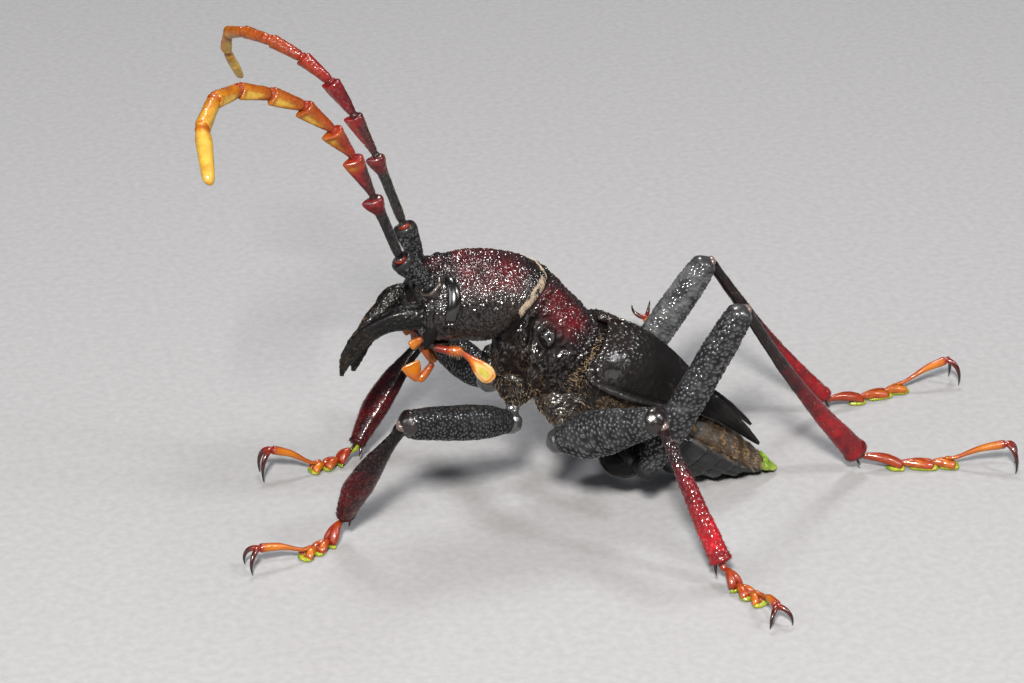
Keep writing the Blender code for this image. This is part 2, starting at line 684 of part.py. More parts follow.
def tarsus(name):
    """The foot: three padded joints flat on the floor, a long claw joint and two claws."""
    pair, hip, ahead, knee, ankle, pads, claws = leg_points(name)
    down = unit(ankle - shin_start(name))
    start = ankle + GAP * down
    run = pads - ankle
    run[2] = 0.0
    reach = np.linalg.norm(run)
    run = run / reach
    half = PAD_LENGTH[pair]
    near = half + 0.40
    far = reach - half * 0.60
    places = [ankle + run * (near + (far - near) * k) for k in (0.0, 0.5, 1.0)]
    solids = []
    first = places[0].copy()
    first[2] = 0.8
    neck = through([start, start + 0.35 * down, start + 0.60 * down + 0.40 * run, first], 2)
    solids.append(tube(neck, (0.40, 0.40, 0.42), (0.40, 0.40, 0.42), np.cross(run, UP_AXIS), 8))
    for place in places:
        place[2] = PAD_SINK
        solids.append(ball(place, (half, PAD_WIDTH, PAD_HEIGHT), run, 10, 6))
    spine = np.array([places[0], places[2]])
    spine[:, 2] = 0.62
    solids.append(tube(spine, (0.36, 0.36), (0.36, 0.36), np.cross(run, UP_AXIS), 8))
    ahead = unit(claws - pads)
    arch = 0.5 * (pads + claws) + np.array([0.0, 0.0, 0.35])
    root = pads - 1.0 * run + np.array([0.0, 0.0, 0.05])
    stem = through([root, pads + np.array([0.0, 0.0, 0.15]), arch, claws], 2)
    side = unit(np.cross(ahead, UP_AXIS))
    solids.append(tube(stem, (0.27, 0.27, 0.32, 0.40), (0.27, 0.27, 0.32, 0.40), side, 8))
    flat = unit(np.array([ahead[0], ahead[1], 0.0]))
    for turn in (-1.0, 1.0):
        low = np.array([0.0, 0.0, (0.18 if name != RAISED else 4.2) - claws[2]])
        tip = claws + flat * 0.9 + side * turn * 1.25 + low
        bulge = claws + flat * 0.95 + side * turn * 0.75 + low * 0.25
        path = through([claws - 0.3 * ahead, bulge, tip], 3)
        solids.append(tube(path, (0.28, 0.24, 0.16, 0.05), (0.28, 0.24, 0.16, 0.05), side, 6))
    foot = fused("tarsus_" + name, solids)
    for vertex in foot.data.vertices:
        vertex.co.z = max(0.0, vertex.co.z)
    return foot


def paint(obj, name, colour, rough):
    """Gives an object its own plain material."""
    material = bpy.data.materials.new(name)
    material.use_nodes = True
    shader = material.node_tree.nodes["Principled BSDF"]
    shader.inputs["Base Color"].default_value = (*colour, 1.0)
    shader.inputs["Roughness"].default_value = rough
    obj.data.materials.clear()
    obj.data.materials.append(material)


def build():
    """Every named piece of the beetle with its colour and roughness."""
    made = [
        (head(), OXBLOOD, 0.35),
        (prothorax(), OXBLOOD, 0.35),
        (thorax(), BLACK, 0.6),
        (scutellum(), BLACK, 0.5),
        (mesh_object("abdomen", loft([body_ring(row, 2.0, 20) for row in ABDOMEN])), BLACK, 0.6),
        (mesh_object("abdomen_tip", loft([body_ring(row, 2.0, 12) for row in TIP])), LIME, 0.4),
        (palp_left(), ORANGE, 0.35),
        (palp_right(), ORANGE, 0.35),
    ]
    for side_name, side in SIDES.items():
        made.append((mesh_object("eye_" + side_name, eye_solid(side, 0.0, 0.30, 0.55)), BLACK, 0.15))
        made.append((mandible("mandible_" + side_name, side_name), BLACK, 0.3))
        made.append((scape("scape_" + side_name, side_name), BLACK, 0.4))
        made.append((feeler("feeler_lower_" + side_name, side_name, 0, LOWER_JOINTS), WINE, 0.35))
        made.append((feeler("feeler_upper_" + side_name, side_name, LOWER_JOINTS, 9), ORANGE, 0.4))
        made.append((wing_case("wing_case_" + side_name, side, 0.0 if side < 0.0 else 0.25), VELVET, 0.7))
    for name in LEGS:
        made.append((femur(name), BLACK, 0.4))
        made.append((tibia(name), WINE, 0.35))
        made.append((tarsus(name), ORANGE, 0.4))
    return made


def main():
    """Clears the scene, builds the beetle and links its pieces."""
    for old in list(bpy.data.objects):
        bpy.data.objects.remove(old)
    home = bpy.data.collections.new("longhorn_beetle")
    bpy.context.scene.collection.children.link(home)
    for obj, colour, rough in build():
        paint(obj, obj.name, colour, rough)
        home.objects.link(obj)


main()
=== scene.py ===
"""The looks of a life-size male longhorn beetle, raised on its legs with the feelers up and the jaws hanging.

Every shape is worked out in millimetres in the beetle's own place: it faces -X, its left side is -Y, the floor is
z = 0. The leaning body is measured by a station, which runs down its slope, and a rise, square to it. SHIFT carries
these places to the frame's, and MM turns them to metres.
"""

import bpy
import numpy as np
from mathutils import Matrix


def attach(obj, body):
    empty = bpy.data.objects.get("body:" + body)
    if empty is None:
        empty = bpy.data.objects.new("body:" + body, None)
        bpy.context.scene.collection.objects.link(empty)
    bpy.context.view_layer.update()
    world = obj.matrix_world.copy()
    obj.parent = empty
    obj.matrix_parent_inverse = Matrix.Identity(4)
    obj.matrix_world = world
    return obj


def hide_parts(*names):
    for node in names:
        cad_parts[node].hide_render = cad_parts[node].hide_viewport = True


MM = 0.001
SHIFT = np.array([-1.72, -1.25, 0.0])
HALF = 0.5 ** 0.5
SLOPE_FOOT = np.array([-4.3, 0.0, 22.0])
ACROSS = np.array([0.0, 1.0, 0.0])
UP = np.array([0.0, 0.0, 1.0])
UPWARD = np.array([HALF, 0.0, HALF])
BACKWARD = np.array([HALF, 0.0, -HALF])
SIDES = {"left": -1.0, "right": 1.0}
BODY = "root"
CURVE_STEPS = 40
HEAD_ROWS = 190
COLLAR_ROWS = 118
PATCH = 0.0015


# Number work shared by every piece

def unit(vectors):
    """Each vector divided by its own length."""
    vectors = np.asarray(vectors, float)
    return vectors / np.maximum(np.linalg.norm(vectors, axis=-1, keepdims=True), 1e-12)


def ease(low, high, value):
    """0 below low, 1 above high, and 3t^2 - 2t^3 between them."""
    t = held((np.asarray(value, float) - low) / (high - low))
    return t * t * (3.0 - 2.0 * t)


def bell(value, middle, width):
    """exp(-((value - middle) / width)^2)."""
    return np.exp(-((np.asarray(value, float) - middle) / width) ** 2)


def held(value):
    """The value, held between 0 and 1."""
    return np.clip(value, 0.0, 1.0)


def fade(low, high, value):
    """1 below low, 0 above high, and 1 - ease between them."""
    return 1.0 - ease(low, high, value)


def arc(path):
    """The length of a path from its start to each of its places."""
    return np.concatenate([[0.0], np.cumsum(np.linalg.norm(np.diff(path, axis=0), axis=1))])


def turns(columns):
    """The share of a turn at each place of a ring, from the top round."""
    return (np.arange(columns) / columns)[None, :]


def mirrored(turn):
    """The share of a turn from the top to a place, by the shorter way."""
    return np.minimum(turn, 1.0 - turn)


def from_top(columns):
    """The degrees from the top to each place of a ring, by the shorter way."""
    return 360.0 * mirrored(turns(columns))


def curve(table, count, even=True):
    """Rows on a smooth curve through the table's rows: a cubic to each span, its end slopes half of what lies
    between the neighbours. With even, the rows are spread evenly by length instead of by span."""
    rows = np.asarray(table, float)
    padded = np.vstack([2.0 * rows[0] - rows[1], rows, 2.0 * rows[-1] - rows[-2]])

    def at(place):
        k = np.minimum(place.astype(int), len(rows) - 2)
        t = (place - k)[:, None]
        p, q, r, s = padded[k], padded[k + 1], padded[k + 2], padded[k + 3]
        return 0.5 * (2.0 * q + (r - p) * t + (2.0 * p - 5.0 * q + 4.0 * r - s) * t ** 2
                      + (3.0 * q - p - 3.0 * r + s) * t ** 3)

    if not even:
        return at(np.linspace(0.0, len(rows) - 1.0, count))
    fine = np.linspace(0.0, len(rows) - 1.0, CURVE_STEPS * len(rows))
    run = arc(at(fine))
    return at(np.interp(np.linspace(0.0, run[-1], count), run, fine))


def spread(values, count):
    """The values spread evenly over count places and joined by a smooth curve."""
    return curve(np.asarray(values, float)[:, None], count, even=False)[:, 0]


def hashed(cells, seed, count):
    """Random numbers from 0 to 1 for whole-number cells: the indices times large odd factors are joined, then
    shifted and multiplied until no pattern is left."""
    with np.errstate(over="ignore"):
        n = cells.astype(np.int64).astype(np.uint64)
        mixed = n[..., 0] * np.uint64(0x9E3779B97F4A7C15) + n[..., 1] * np.uint64(0xC2B2AE3D27D4EB4F)
        mixed = mixed + n[..., 2] * np.uint64(0x165667B19E3779F9) + np.uint64(seed * 7919 + 17)
        found = []
        for _ in range(count):
            mixed = (mixed ^ (mixed >> np.uint64(33))) * np.uint64(0xFF51AFD7ED558CCD)
            mixed = (mixed ^ (mixed >> np.uint64(29))) * np.uint64(0xC4CEB9FE1A85EC53)
            mixed = mixed ^ (mixed >> np.uint64(32))
            found.append((mixed >> np.uint64(11)).astype(float) / 2.0 ** 53)
    return np.stack(found, axis=-1)


def cloud(points, size, seed, octaves=3):
    """Soft noise from -1 to 1: random corner values eased across cubes of side size, halved in size and height
    for each octave."""
    total = np.zeros(points.shape[:-1])
    height = 1.0
    for octave in range(octaves):
        place = points / size * 2.0 ** octave
        base = np.floor(place)
        t = place - base
        t = t * t * (3.0 - 2.0 * t)
        level = np.zeros(points.shape[:-1])
        for corner in np.ndindex(2, 2, 2):
            share = np.prod(np.where(np.array(corner) == 1, t, 1.0 - t), axis=-1)
            level += share * hashed(base + corner, seed + octave, 1)[..., 0]
        total += height * (2.0 * level - 1.0)
        height *= 0.5
    return total


def grain_dome(distance, reach):
    """The height of a grain at a distance from its middle: (1 - (d/r)^2)^0.8, and 0 beyond its reach."""
    return held(1.0 - (distance / reach) ** 2) ** 0.8


def beads(points, size, seed, scatter=0.8):
    """Rounded grains: one random centre in each cube of side size. Returns the height of a grain, 1 on its top
    and 0 from its edge outwards."""
    place = points / size
    base = np.floor(place)
    near = np.full(points.shape[:-1], 9.0)
    for step in np.ndindex(3, 3, 3):
        cell = base + np.array(step) - 1.0
        chance = hashed(cell, seed, 4)
        gap = np.linalg.norm(place - cell - 0.5 - (chance[..., :3] - 0.5) * scatter, axis=-1)
        near = np.minimum(near, gap / (0.75 + 0.5 * chance[..., 3]))
    return grain_dome(near, 0.52)


def studs(turn, along, per_turn, pitch, seed, scatter=0.35, reach=0.42):
    """Grains in staggered rows round a limb: turn is 0 to 1 about it, along is in millimetres. Returns each
    grain's height from 0 to 1."""
    row = np.floor(along / pitch)
    near = np.full(np.broadcast(turn, along).shape, 9.0)
    for i in (-1.0, 0.0, 1.0):
        line = row + i
        place = turn * per_turn - 0.5 * (line % 2.0)
        column = np.floor(place)
        for j in (-1.0, 0.0, 1.0):
            cell = np.stack(np.broadcast_arrays((column + j) % per_turn, line, 0.0 * line), axis=-1)
            chance = hashed(cell, seed, 3)
            a = place - (column + j) - 0.5 - (chance[..., 0] - 0.5) * scatter
            b = along / pitch - line - 0.5 - (chance[..., 1] - 0.5) * scatter
            near = np.minimum(near, np.hypot(a, b) / (0.75 + 0.5 * chance[..., 2]))
    return grain_dome(near, reach)


# Surfaces as grids of rings, and meshes made from them

def superellipse(turn, power):
    """Sideways and upward shares of a ring, from the top round: |sin|^(2/p) and |cos|^(2/p), with their signs."""
    angle = 2.0 * np.pi * turn
    return tuple(np.sign(wave) * np.abs(wave) ** (2.0 / power) for wave in (np.sin(angle), np.cos(angle)))


def rings(middle, across, upward, width, above, below, power, columns):
    """A grid of rings: each place is middle + across * width * side + upward * height * up, with its own height
    above and below."""
    side, up = (share[..., None] for share in superellipse(turns(columns), power))
    height = np.where(up > 0.0, np.reshape(above, (-1, 1, 1)), np.reshape(below, (-1, 1, 1)))
    return middle[:, None] + across[:, None] * np.reshape(width, (-1, 1, 1)) * side + upward[:, None] * height * up


def frames(path, across):
    """For each place of a path: the across vector made square to its direction, and the third direction."""
    ahead = unit(np.gradient(path, axis=0))
    side = unit(across - np.sum(across * ahead, axis=1, keepdims=True) * ahead)
    return side, np.cross(side, ahead)


def limb(path, thick, broad, across, columns, power=2.0):
    """Rings along a path, thick across and broad the other way, with the run along the path in millimetres."""
    side, rise = frames(path, np.asarray(across, float))
    return rings(path, side, rise, thick, broad, broad, power, columns), arc(path)


def domed(run, radius, start=0.7, end=0.7):
    """A share that rounds a limb's ends: sqrt(1 - (1 - d/r)^2) for a distance d from an end under r."""
    share = np.ones_like(run)
    for distance, reach in ((run - run[0], start * radius), (run[-1] - run, end * radius)):
        if reach > 0.0:
            t = held(distance / reach)
            share = np.minimum(share, np.sqrt(held(1.0 - (1.0 - t) ** 2)))
    return np.maximum(share, 0.02)


def facing(grid):
    """The outward normals of a grid of rings: the product of its two directions, turned away from each ring's
    middle."""
    down = np.gradient(grid, axis=0)
    round_it = np.roll(grid, -1, axis=1) - np.roll(grid, 1, axis=1)
    normal = unit(np.cross(down, round_it))
    away = grid - grid.mean(axis=1, keepdims=True)
    return -normal if np.sum(normal * away) < 0.0 else normal


def raised(grid, height):
    """The grid moved along its normals by a height in millimetres."""
    return grid + facing(grid) * height[..., None]


def outward(points, faces):
    """The faces, turned round where the volume they hold is negative."""
    volume = 0.0
    for block in faces:
        for k in range(1, block.shape[1] - 1):
            a, b, c = points[block[:, 0]], points[block[:, k]], points[block[:, k + 1]]
            volume += np.sum(a * np.cross(b, c))
    return faces if volume > 0.0 else [block[:, ::-1] for block in faces]


def tube(grid, **marks):
    """A closed surface from a grid of rings, each end drawn to a point at its middle. A mark is a number for
    each place of the grid, which the materials read."""
    rows, columns = grid.shape[:2]
    points = np.vstack([grid.reshape(-1, 3), grid[0].mean(axis=0), grid[-1].mean(axis=0)])
    index = np.arange(rows * columns).reshape(rows, columns)
    ahead = np.roll(index, -1, axis=1)
    quads = np.stack([index[:-1], ahead[:-1], ahead[1:], index[1:]], axis=-1).reshape(-1, 4)
    first = np.stack([np.full(columns, rows * columns), ahead[0], index[0]], axis=-1)
    last = np.stack([np.full(columns, rows * columns + 1), index[-1], ahead[-1]], axis=-1)
    faces = outward(points, [quads, np.vstack([first, last])])
    kept = {}
    for name, mark in marks.items():
        mark = np.broadcast_to(mark, index.shape)
        kept[name] = np.concatenate([mark.ravel(), [mark[0].mean(), mark[-1].mean()]])
    return points, faces, kept


def slab(outer, inner, **marks):
    """A closed sheet between two grids of one size, walled along its four edges."""
    rows, columns = outer.shape[:2]
    points = np.vstack([outer.reshape(-1, 3), inner.reshape(-1, 3)])
    index = np.arange(rows * columns).reshape(rows, columns)
    over = np.stack([index[:-1, :-1], index[:-1, 1:], index[1:, 1:], index[1:, :-1]], axis=-1).reshape(-1, 4)
    rim = np.concatenate([index[0], index[1:, -1], index[-1, -2::-1], index[-2:0:-1, 0]])
    after = np.roll(rim, -1)
    under = rows * columns
    wall = np.stack([rim, rim + under, after + under, after], axis=-1)
    faces = outward(points, [np.vstack([over, over[:, ::-1] + under, wall])])
    return points, faces, {name: np.tile(np.broadcast_to(mark, index.shape).ravel(), 2) for name, mark in marks.items()}


def piece(name, parts, material, slot, *nodes):
    """One mesh object from closed surfaces, in metres at its true place. It rides on the body and stands for the
    named solids."""
    points = np.vstack([part[0] for part in parts])
    start = 0
    loops = []
    sizes = []
    for part in parts:
        for block in part[1]:
            loops.append((block + start).ravel())
            sizes.append(np.full(len(block), block.shape[1]))
        start += len(part[0])
    loops = np.concatenate(loops)
    sizes = np.concatenate(sizes)
    mesh = bpy.data.meshes.new(name)
    mesh.vertices.add(len(points))
    mesh.vertices.foreach_set("co", ((points + SHIFT) * MM).astype(np.float32).ravel())
    mesh.loops.add(len(loops))
    mesh.loops.foreach_set("vertex_index", loops.astype(np.int32))
    mesh.polygons.add(len(sizes))
    mesh.polygons.foreach_set("loop_start", np.concatenate([[0], np.cumsum(sizes)[:-1]]).astype(np.int32))
    mesh.update(calc_edges=True)
    mesh.validate()
    mesh.shade_smooth()
    if "u" in parts[0][2]:
        unwrap = np.stack([np.concatenate([part[2][axis] for part in parts]) for axis in ("u", "v")], axis=1)
        layer = mesh.uv_layers.new(name="OFBake")
        layer.data.foreach_set("uv", unwrap[loops].astype(np.float32).ravel())
    for mark in sorted({key for part in parts for key in part[2]} - {"u", "v"}):
        values = [part[2].get(mark, np.zeros(len(part[0]))) for part in parts]
        layer = mesh.attributes.new(mark, "FLOAT", "POINT")
        layer.data.foreach_set("value", np.concatenate(values).astype(np.float32))
    made = bpy.data.objects.new(name, mesh)
    bpy.context.scene.collection.objects.link(made)
    made.data.materials.append(material)
    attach(made, BODY)
    if nodes:
        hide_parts(*nodes)
    return made


SKIN = {}


def keep(name, grid, **marks):
    """Holds a finished surface and its marks under a name, for the hairs that stand on it."""
    SKIN[name] = {"grid": grid, **marks}


# Materials

def linear(code):
    """An sRGB hex colour as linear red, green and blue, with 1 for its alpha."""
    parts = [int(code[k:k + 2], 16) / 255.0 for k in (0, 2, 4)]
    return tuple(c / 12.92 if c <= 0.04045 else ((c + 0.055) / 1.055) ** 2.4 for c in parts) + (1.0,)


def fill(tree, node, inputs):
    """Fills a node's inputs by name or number, with a value or another node's output."""
    for key, value in inputs.items():
        if isinstance(value, bpy.types.NodeSocket):
            tree.links.new(value, node.inputs[key])
        else:
            node.inputs[key].default_value = value


def add(tree, kind, settings=None, inputs=None):
    """Adds a node, sets its settings and fills its inputs. The setting stops gives a ramp its places and hex
    colours."""
    made = tree.nodes.new(kind)
    for name, value in (settings or {}).items():
        if name == "stops":
            ramp = made.color_ramp
            while len(ramp.elements) < len(value):
                ramp.elements.new(0.5)
            for element, (place, code) in zip(ramp.elements, value):
                element.position = place
                element.color = linear(code)
        else:
            setattr(made, name, value)
    fill(tree, made, inputs or {})
    return made


def new_material(name):
    """A material with its tree and its shader."""
    material = bpy.data.materials.new(name)
    material.use_nodes = True
    return material, material.node_tree, material.node_tree.nodes["Principled BSDF"]


CHITIN_INDEX = 1.54
VARNISH_INDEX = 1.7
SKIN_DEPTHS = (0.6 * MM, 0.25 * MM, 0.12 * MM)
SPECK_SIZE = 0.22


def cuticle(name, stops, grain="", grain_share=0.6, dust="6d5640", rough=(0.46, 0.2), mottle=0.6, mottle_size=1.1,
            pores=0.12, pore_size=0.09, coat=0.0, grain_coat=0.0, coat_rough=0.12, shine=0.10, soft=0.0):
    """Insect shell. The tone mark picks a colour along the stops, soft noise mottles it, the grain mark lights
    and polishes the tops of the grains, and the dust mark dulls the hollows. rough is the roughness between the
    grains and on them. coat and grain_coat varnish the whole and the grains. pores is the depth in tenths of a
    millimetre of a fine pitting pore_size millimetres wide. mottle_size is in millimetres too."""
    material, tree, shader = new_material(name)
    place = add(tree, "ShaderNodeTexCoord").outputs["Object"]

    def mark(kind):
        return add(tree, "ShaderNodeAttribute", {"attribute_name": kind}).outputs["Fac"]

    def noise(size, detail, decay):
        return add(tree, "ShaderNodeTexNoise", None, {"Vector": place, "Scale": 1.0 / (size * MM), "Detail": detail,
                                                      "Roughness": decay}).outputs["Fac"]

    def reckon(how, *values, clamp=False):
        return add(tree, "ShaderNodeMath", {"operation": how, "use_clamp": clamp}, dict(enumerate(values))).outputs[0]

    def fitted(value, low, high, start, end):
        return add(tree, "ShaderNodeMapRange", None, {"Value": value, "From Min": low, "From Max": high,
                                                      "To Min": start, "To Max": end}).outputs[0]

    def blend(share, below, above, how="MIX"):
        return add(tree, "ShaderNodeMix", {"data_type": "RGBA", "blend_type": how},
                   {0: share, 6: below, 7: above}).outputs[2]

    grains = mark("grain")
    patchy = noise(mottle_size, 5.0, 0.6)
    speck = noise(SPECK_SIZE, 3.0, 0.65)
    centred = reckon("SUBTRACT", reckon("MULTIPLY_ADD", patchy, 0.24, mark("tone")), 0.12)
    colour = add(tree, "ShaderNodeValToRGB", {"stops": stops}, {0: centred}).outputs["Color"]
    colour = blend(1.0, colour, fitted(patchy, 0.3, 0.7, 1.0 - mottle, 1.0 + mottle), "MULTIPLY")
    if grain:
        colour = blend(reckon("MULTIPLY", grains, grain_share), colour, linear(grain))
    dusty = reckon("MULTIPLY", mark("dust"), fitted(speck, 0.38, 0.66, 0.35, 1.0), clamp=True)
    dulled = reckon("MULTIPLY_ADD", dusty, 0.45, fitted(grains, 0.1, 0.7, *rough), clamp=True)
    pits = add(tree, "ShaderNodeTexVoronoi", {"feature": "SMOOTH_F1"},
               {"Vector": place, "Scale": 1.0 / (pore_size * MM), "Randomness": 0.9}).outputs["Distance"]
    bump = add(tree, "ShaderNodeBump", None, {"Strength": 1.0, "Distance": pores * 0.1 * MM,
                                              "Height": reckon("MULTIPLY_ADD", speck, 0.5, pits)})
    varnish = reckon("MULTIPLY_ADD", grains, grain_coat, coat, clamp=True)
    fill(tree, shader, {
        "Base Color": blend(dusty, colour, linear(dust)),
        "Roughness": reckon("MULTIPLY_ADD", patchy, 0.12, dulled, clamp=True),
        "Normal": bump.outputs[0],
        "Coat Weight": varnish,
        "Coat Roughness": coat_rough,
        "Coat IOR": VARNISH_INDEX,
        "Specular IOR Level": reckon("MULTIPLY_ADD", varnish, 0.6, shine, clamp=True),
        "IOR": CHITIN_INDEX,
    })
    if soft > 0.0:
        fill(tree, shader, {"Subsurface Weight": soft, "Subsurface Radius": SKIN_DEPTHS, "Subsurface Scale": 1.0})
    return material


# Chitin, hardened and grained: near black in the grooves, blood red where light reaches the thin crown, each
# grain polished to a bright point.
OXBLOOD_CHITIN = cuticle("oxblood_chitin",
                         [(0.0, "070505"), (0.3, "0e0607"), (0.55, "20070a"), (0.8, "30070b"), (1.0, "44070d")],
                         grain="0d0607", grain_share=0.3, dust="3e3024", rough=(0.42, 0.16), mottle=0.3,
                         grain_coat=1.0)
# The same chitin without red, on thighs and first feeler joints: charcoal satin between small polished studs. Its
# lightest stop chiefly carries the painted sheen on the right hind thigh.
CHARCOAL_CHITIN = cuticle("charcoal_chitin", [(0.0, "060607"), (0.4, "121315"), (0.7, "27282a"), (1.0, "505255")],
                          grain="3e3e40", grain_share=0.6, dust="242526", rough=(0.50, 0.17), mottle=0.2, pores=0.1,
                          grain_coat=0.9)
# Wing-case chitin under a fine down: velvet black with wine specks, polished only at the shoulder and the rim.
VELVET_CHITIN = cuticle("velvet_chitin", [(0.0, "060505"), (0.45, "0a0808"), (0.75, "120809"), (1.0, "2a0b0e")],
                        grain="0e0808", grain_share=0.5, dust="2e2620", rough=(0.58, 0.2), mottle=0.35, pores=0.3,
                        pore_size=0.13, grain_coat=0.8)
# Smooth polished chitin of the jaws, nearly black and finely pitted.
JAW_CHITIN = cuticle("jaw_chitin", [(0.0, "050505"), (0.6, "0d0b0b"), (1.0, "211410")],
                     rough=(0.34, 0.2), mottle=0.25, pores=0.4, pore_size=0.2, coat=0.12, grain_coat=0.8,
                     coat_rough=0.14)
# Chitin of shins: black at the knee, wine red and then crimson towards the foot, each grain a bright point.
WINE_CHITIN = cuticle("wine_chitin",
                      [(0.0, "060505"), (0.3, "16060a"), (0.6, "42060d"), (0.85, "6a0811"), (1.0, "880b17")],
                      rough=(0.32, 0.2), dust="2a1c1a", mottle=0.25, coat=0.10, grain_coat=0.8, shine=0.04)
# Feeler chitin: black, wine, red, orange and at last a soft yellow orange that light passes through.
FEELER_CHITIN = cuticle("feeler_chitin",
                        [(0.0, "0a0909"), (0.2, "180b0b"), (0.36, "38090e"), (0.5, "620d0e"), (0.62, "661b08"),
                         (0.76, "703207"), (0.88, "84500c"), (1.0, "96782c")],
                        rough=(0.34, 0.18), mottle=0.2, coat=0.1, grain_coat=0.8, soft=0.06)
# Thin orange chitin of palps and feet, waxy, from lime at the pads through orange to brown red.
AMBER_CHITIN = cuticle("amber_chitin",
                       [(0.0, "547214"), (0.16, "868410"), (0.28, "a8895a"), (0.42, "98580c"), (0.6, "762a0a"),
                        (0.8, "5f1409"), (1.0, "240a07")],
                       rough=(0.30, 0.2), mottle=0.16, coat=0.3, soft=0.06)
# Matt chitin of the underside, blackish brown, dusted in the folds and clothed in down.
DUSTY_CHITIN = cuticle("dusty_chitin", [(0.0, "080707"), (0.5, "100d0c"), (1.0, "1f1611")],
                       grain="0d0b0a", grain_share=0.4, rough=(0.44, 0.2), dust="2a2016", mottle=0.45, grain_coat=0.5,
                       pores=0.25, pore_size=0.12)
# Plates of the hind body: satin dark grey below, brown above, flecked with ochre.
PLATE_CHITIN = cuticle("plate_chitin",
                       [(0.0, "0a0a0b"), (0.28, "1a1b1c"), (0.45, "2b2c2d"), (0.6, "191310"), (1.0, "2e241c")],
                       dust="86663f", rough=(0.42, 0.25), mottle=0.3, pores=0.25, pore_size=0.12, coat=0.08,
                       grain_coat=0.5)
# Faceted eye: black brown under a wet, nearly smooth lens.
EYE_LENS = cuticle("eye_lens", [(0.0, "030303"), (0.6, "070505"), (1.0, "0f0907")],
                   rough=(0.2, 0.2), mottle=0.2, pores=0.02, pore_size=0.07, coat=0.6, coat_rough=0.16, shine=0.05)
# Claw chitin, hard and glossy, brown red at the root and black at the point.
CLAW_CHITIN = cuticle("claw_chitin", [(0.0, "080606"), (0.5, "340a06"), (1.0, "7a1e0a")],
                      rough=(0.2, 0.2), mottle=0.2, pores=0.04, coat=0.4, coat_rough=0.08)
# Soft joint skin between the plates, moist and pale grey to brown.
JOINT_SKIN = cuticle("joint_skin", [(0.0, "1a1210"), (0.5, "453732"), (1.0, "8a7a72")],
                     rough=(0.32, 0.3), mottle=0.3, coat=0.4, soft=0.1)
# Soft lime green skin at the tail's tip, moist.
LIME_SKIN = cuticle("lime_skin", [(0.0, "26400a"), (0.5, "567210"), (1.0, "869630")],
                    rough=(0.34, 0.22), mottle=0.35, mottle_size=0.5, coat=0.4, soft=0.12)
# Hair of keratin-like chitin, golden brown to straw.
GOLDEN_HAIR = cuticle("golden_hair", [(0.0, "22180f"), (0.5, "665038"), (1.0, "ae9a7e")],
                      rough=(0.42, 0.35), mottle=0.25, pores=0.0)
# The pinkish tan hair of the collar's fringe, short, dense and dull.
FRINGE_HAIR = cuticle("fringe_hair", [(0.0, "332c24"), (0.5, "665a4c"), (1.0, "97887a")],
                      rough=(0.55, 0.45), mottle=0.2, pores=0.0)


# The camera, the light and the floor

CAMERA_AZIMUTH = np.radians(-13.3)
CAMERA_HEIGHT = np.radians(25.6)
CAMERA_REACH = 306.8
CAMERA_AIM = np.array([0.0, 32.2, 0.0])
SENSOR = 36.0
LENS = 3068.0 / 1024.0 * SENSOR


def aimed(name, data, back, place):
    """Puts a camera or light at a place in metres, looking against back."""
    made = bpy.data.objects.new(name, data)
    bpy.context.scene.collection.objects.link(made)
    right = unit(np.cross(UP, back))
    turn = np.eye(4)
    turn[:3, :3] = np.stack([right, np.cross(back, right), back], axis=1)
    turn[:3, 3] = place
    made.matrix_world = Matrix(turn)
    return made


def set_camera():
    """The camera looks at its aim from the photograph's azimuth and height."""
    level = np.cos(CAMERA_HEIGHT)
    back = np.array([np.sin(CAMERA_AZIMUTH) * level, -np.cos(CAMERA_AZIMUTH) * level, np.sin(CAMERA_HEIGHT)])
    data = bpy.data.cameras.new("camera")
    data.sensor_width = SENSOR
    data.lens = LENS
    data.clip_start = 0.01
    bpy.context.scene.camera = aimed("camera", data, back, (CAMERA_AIM + SHIFT + back * CAMERA_REACH) * MM)


# Each square soft light: its name, its direction from the beetle, its distance and size in metres, its power in
# watts and its colour.
LIGHTS = (
    ("key", (-0.32, -0.96, 0.84), 0.5, 0.06, 6.5, "fffaf2"),
    ("fill_left", (-1.0, -0.35, 0.55), 0.6, 0.3, 1.2, "f2f6ff"),
    ("fill_right", (1.0, -0.5, 0.8), 0.6, 0.3, 1.0, "ffffff"),
    ("top", (0.1, 0.5, 1.0), 0.6, 0.14, 2.2, "ffffff"),
    ("side", (0.75, -0.55, 1.0), 0.6, 0.08, 1.6, "ffffff"),
)
LIT_PLACE = np.array([0.0, 0.0, 15.0])
FLOOR_HALF = 3.0


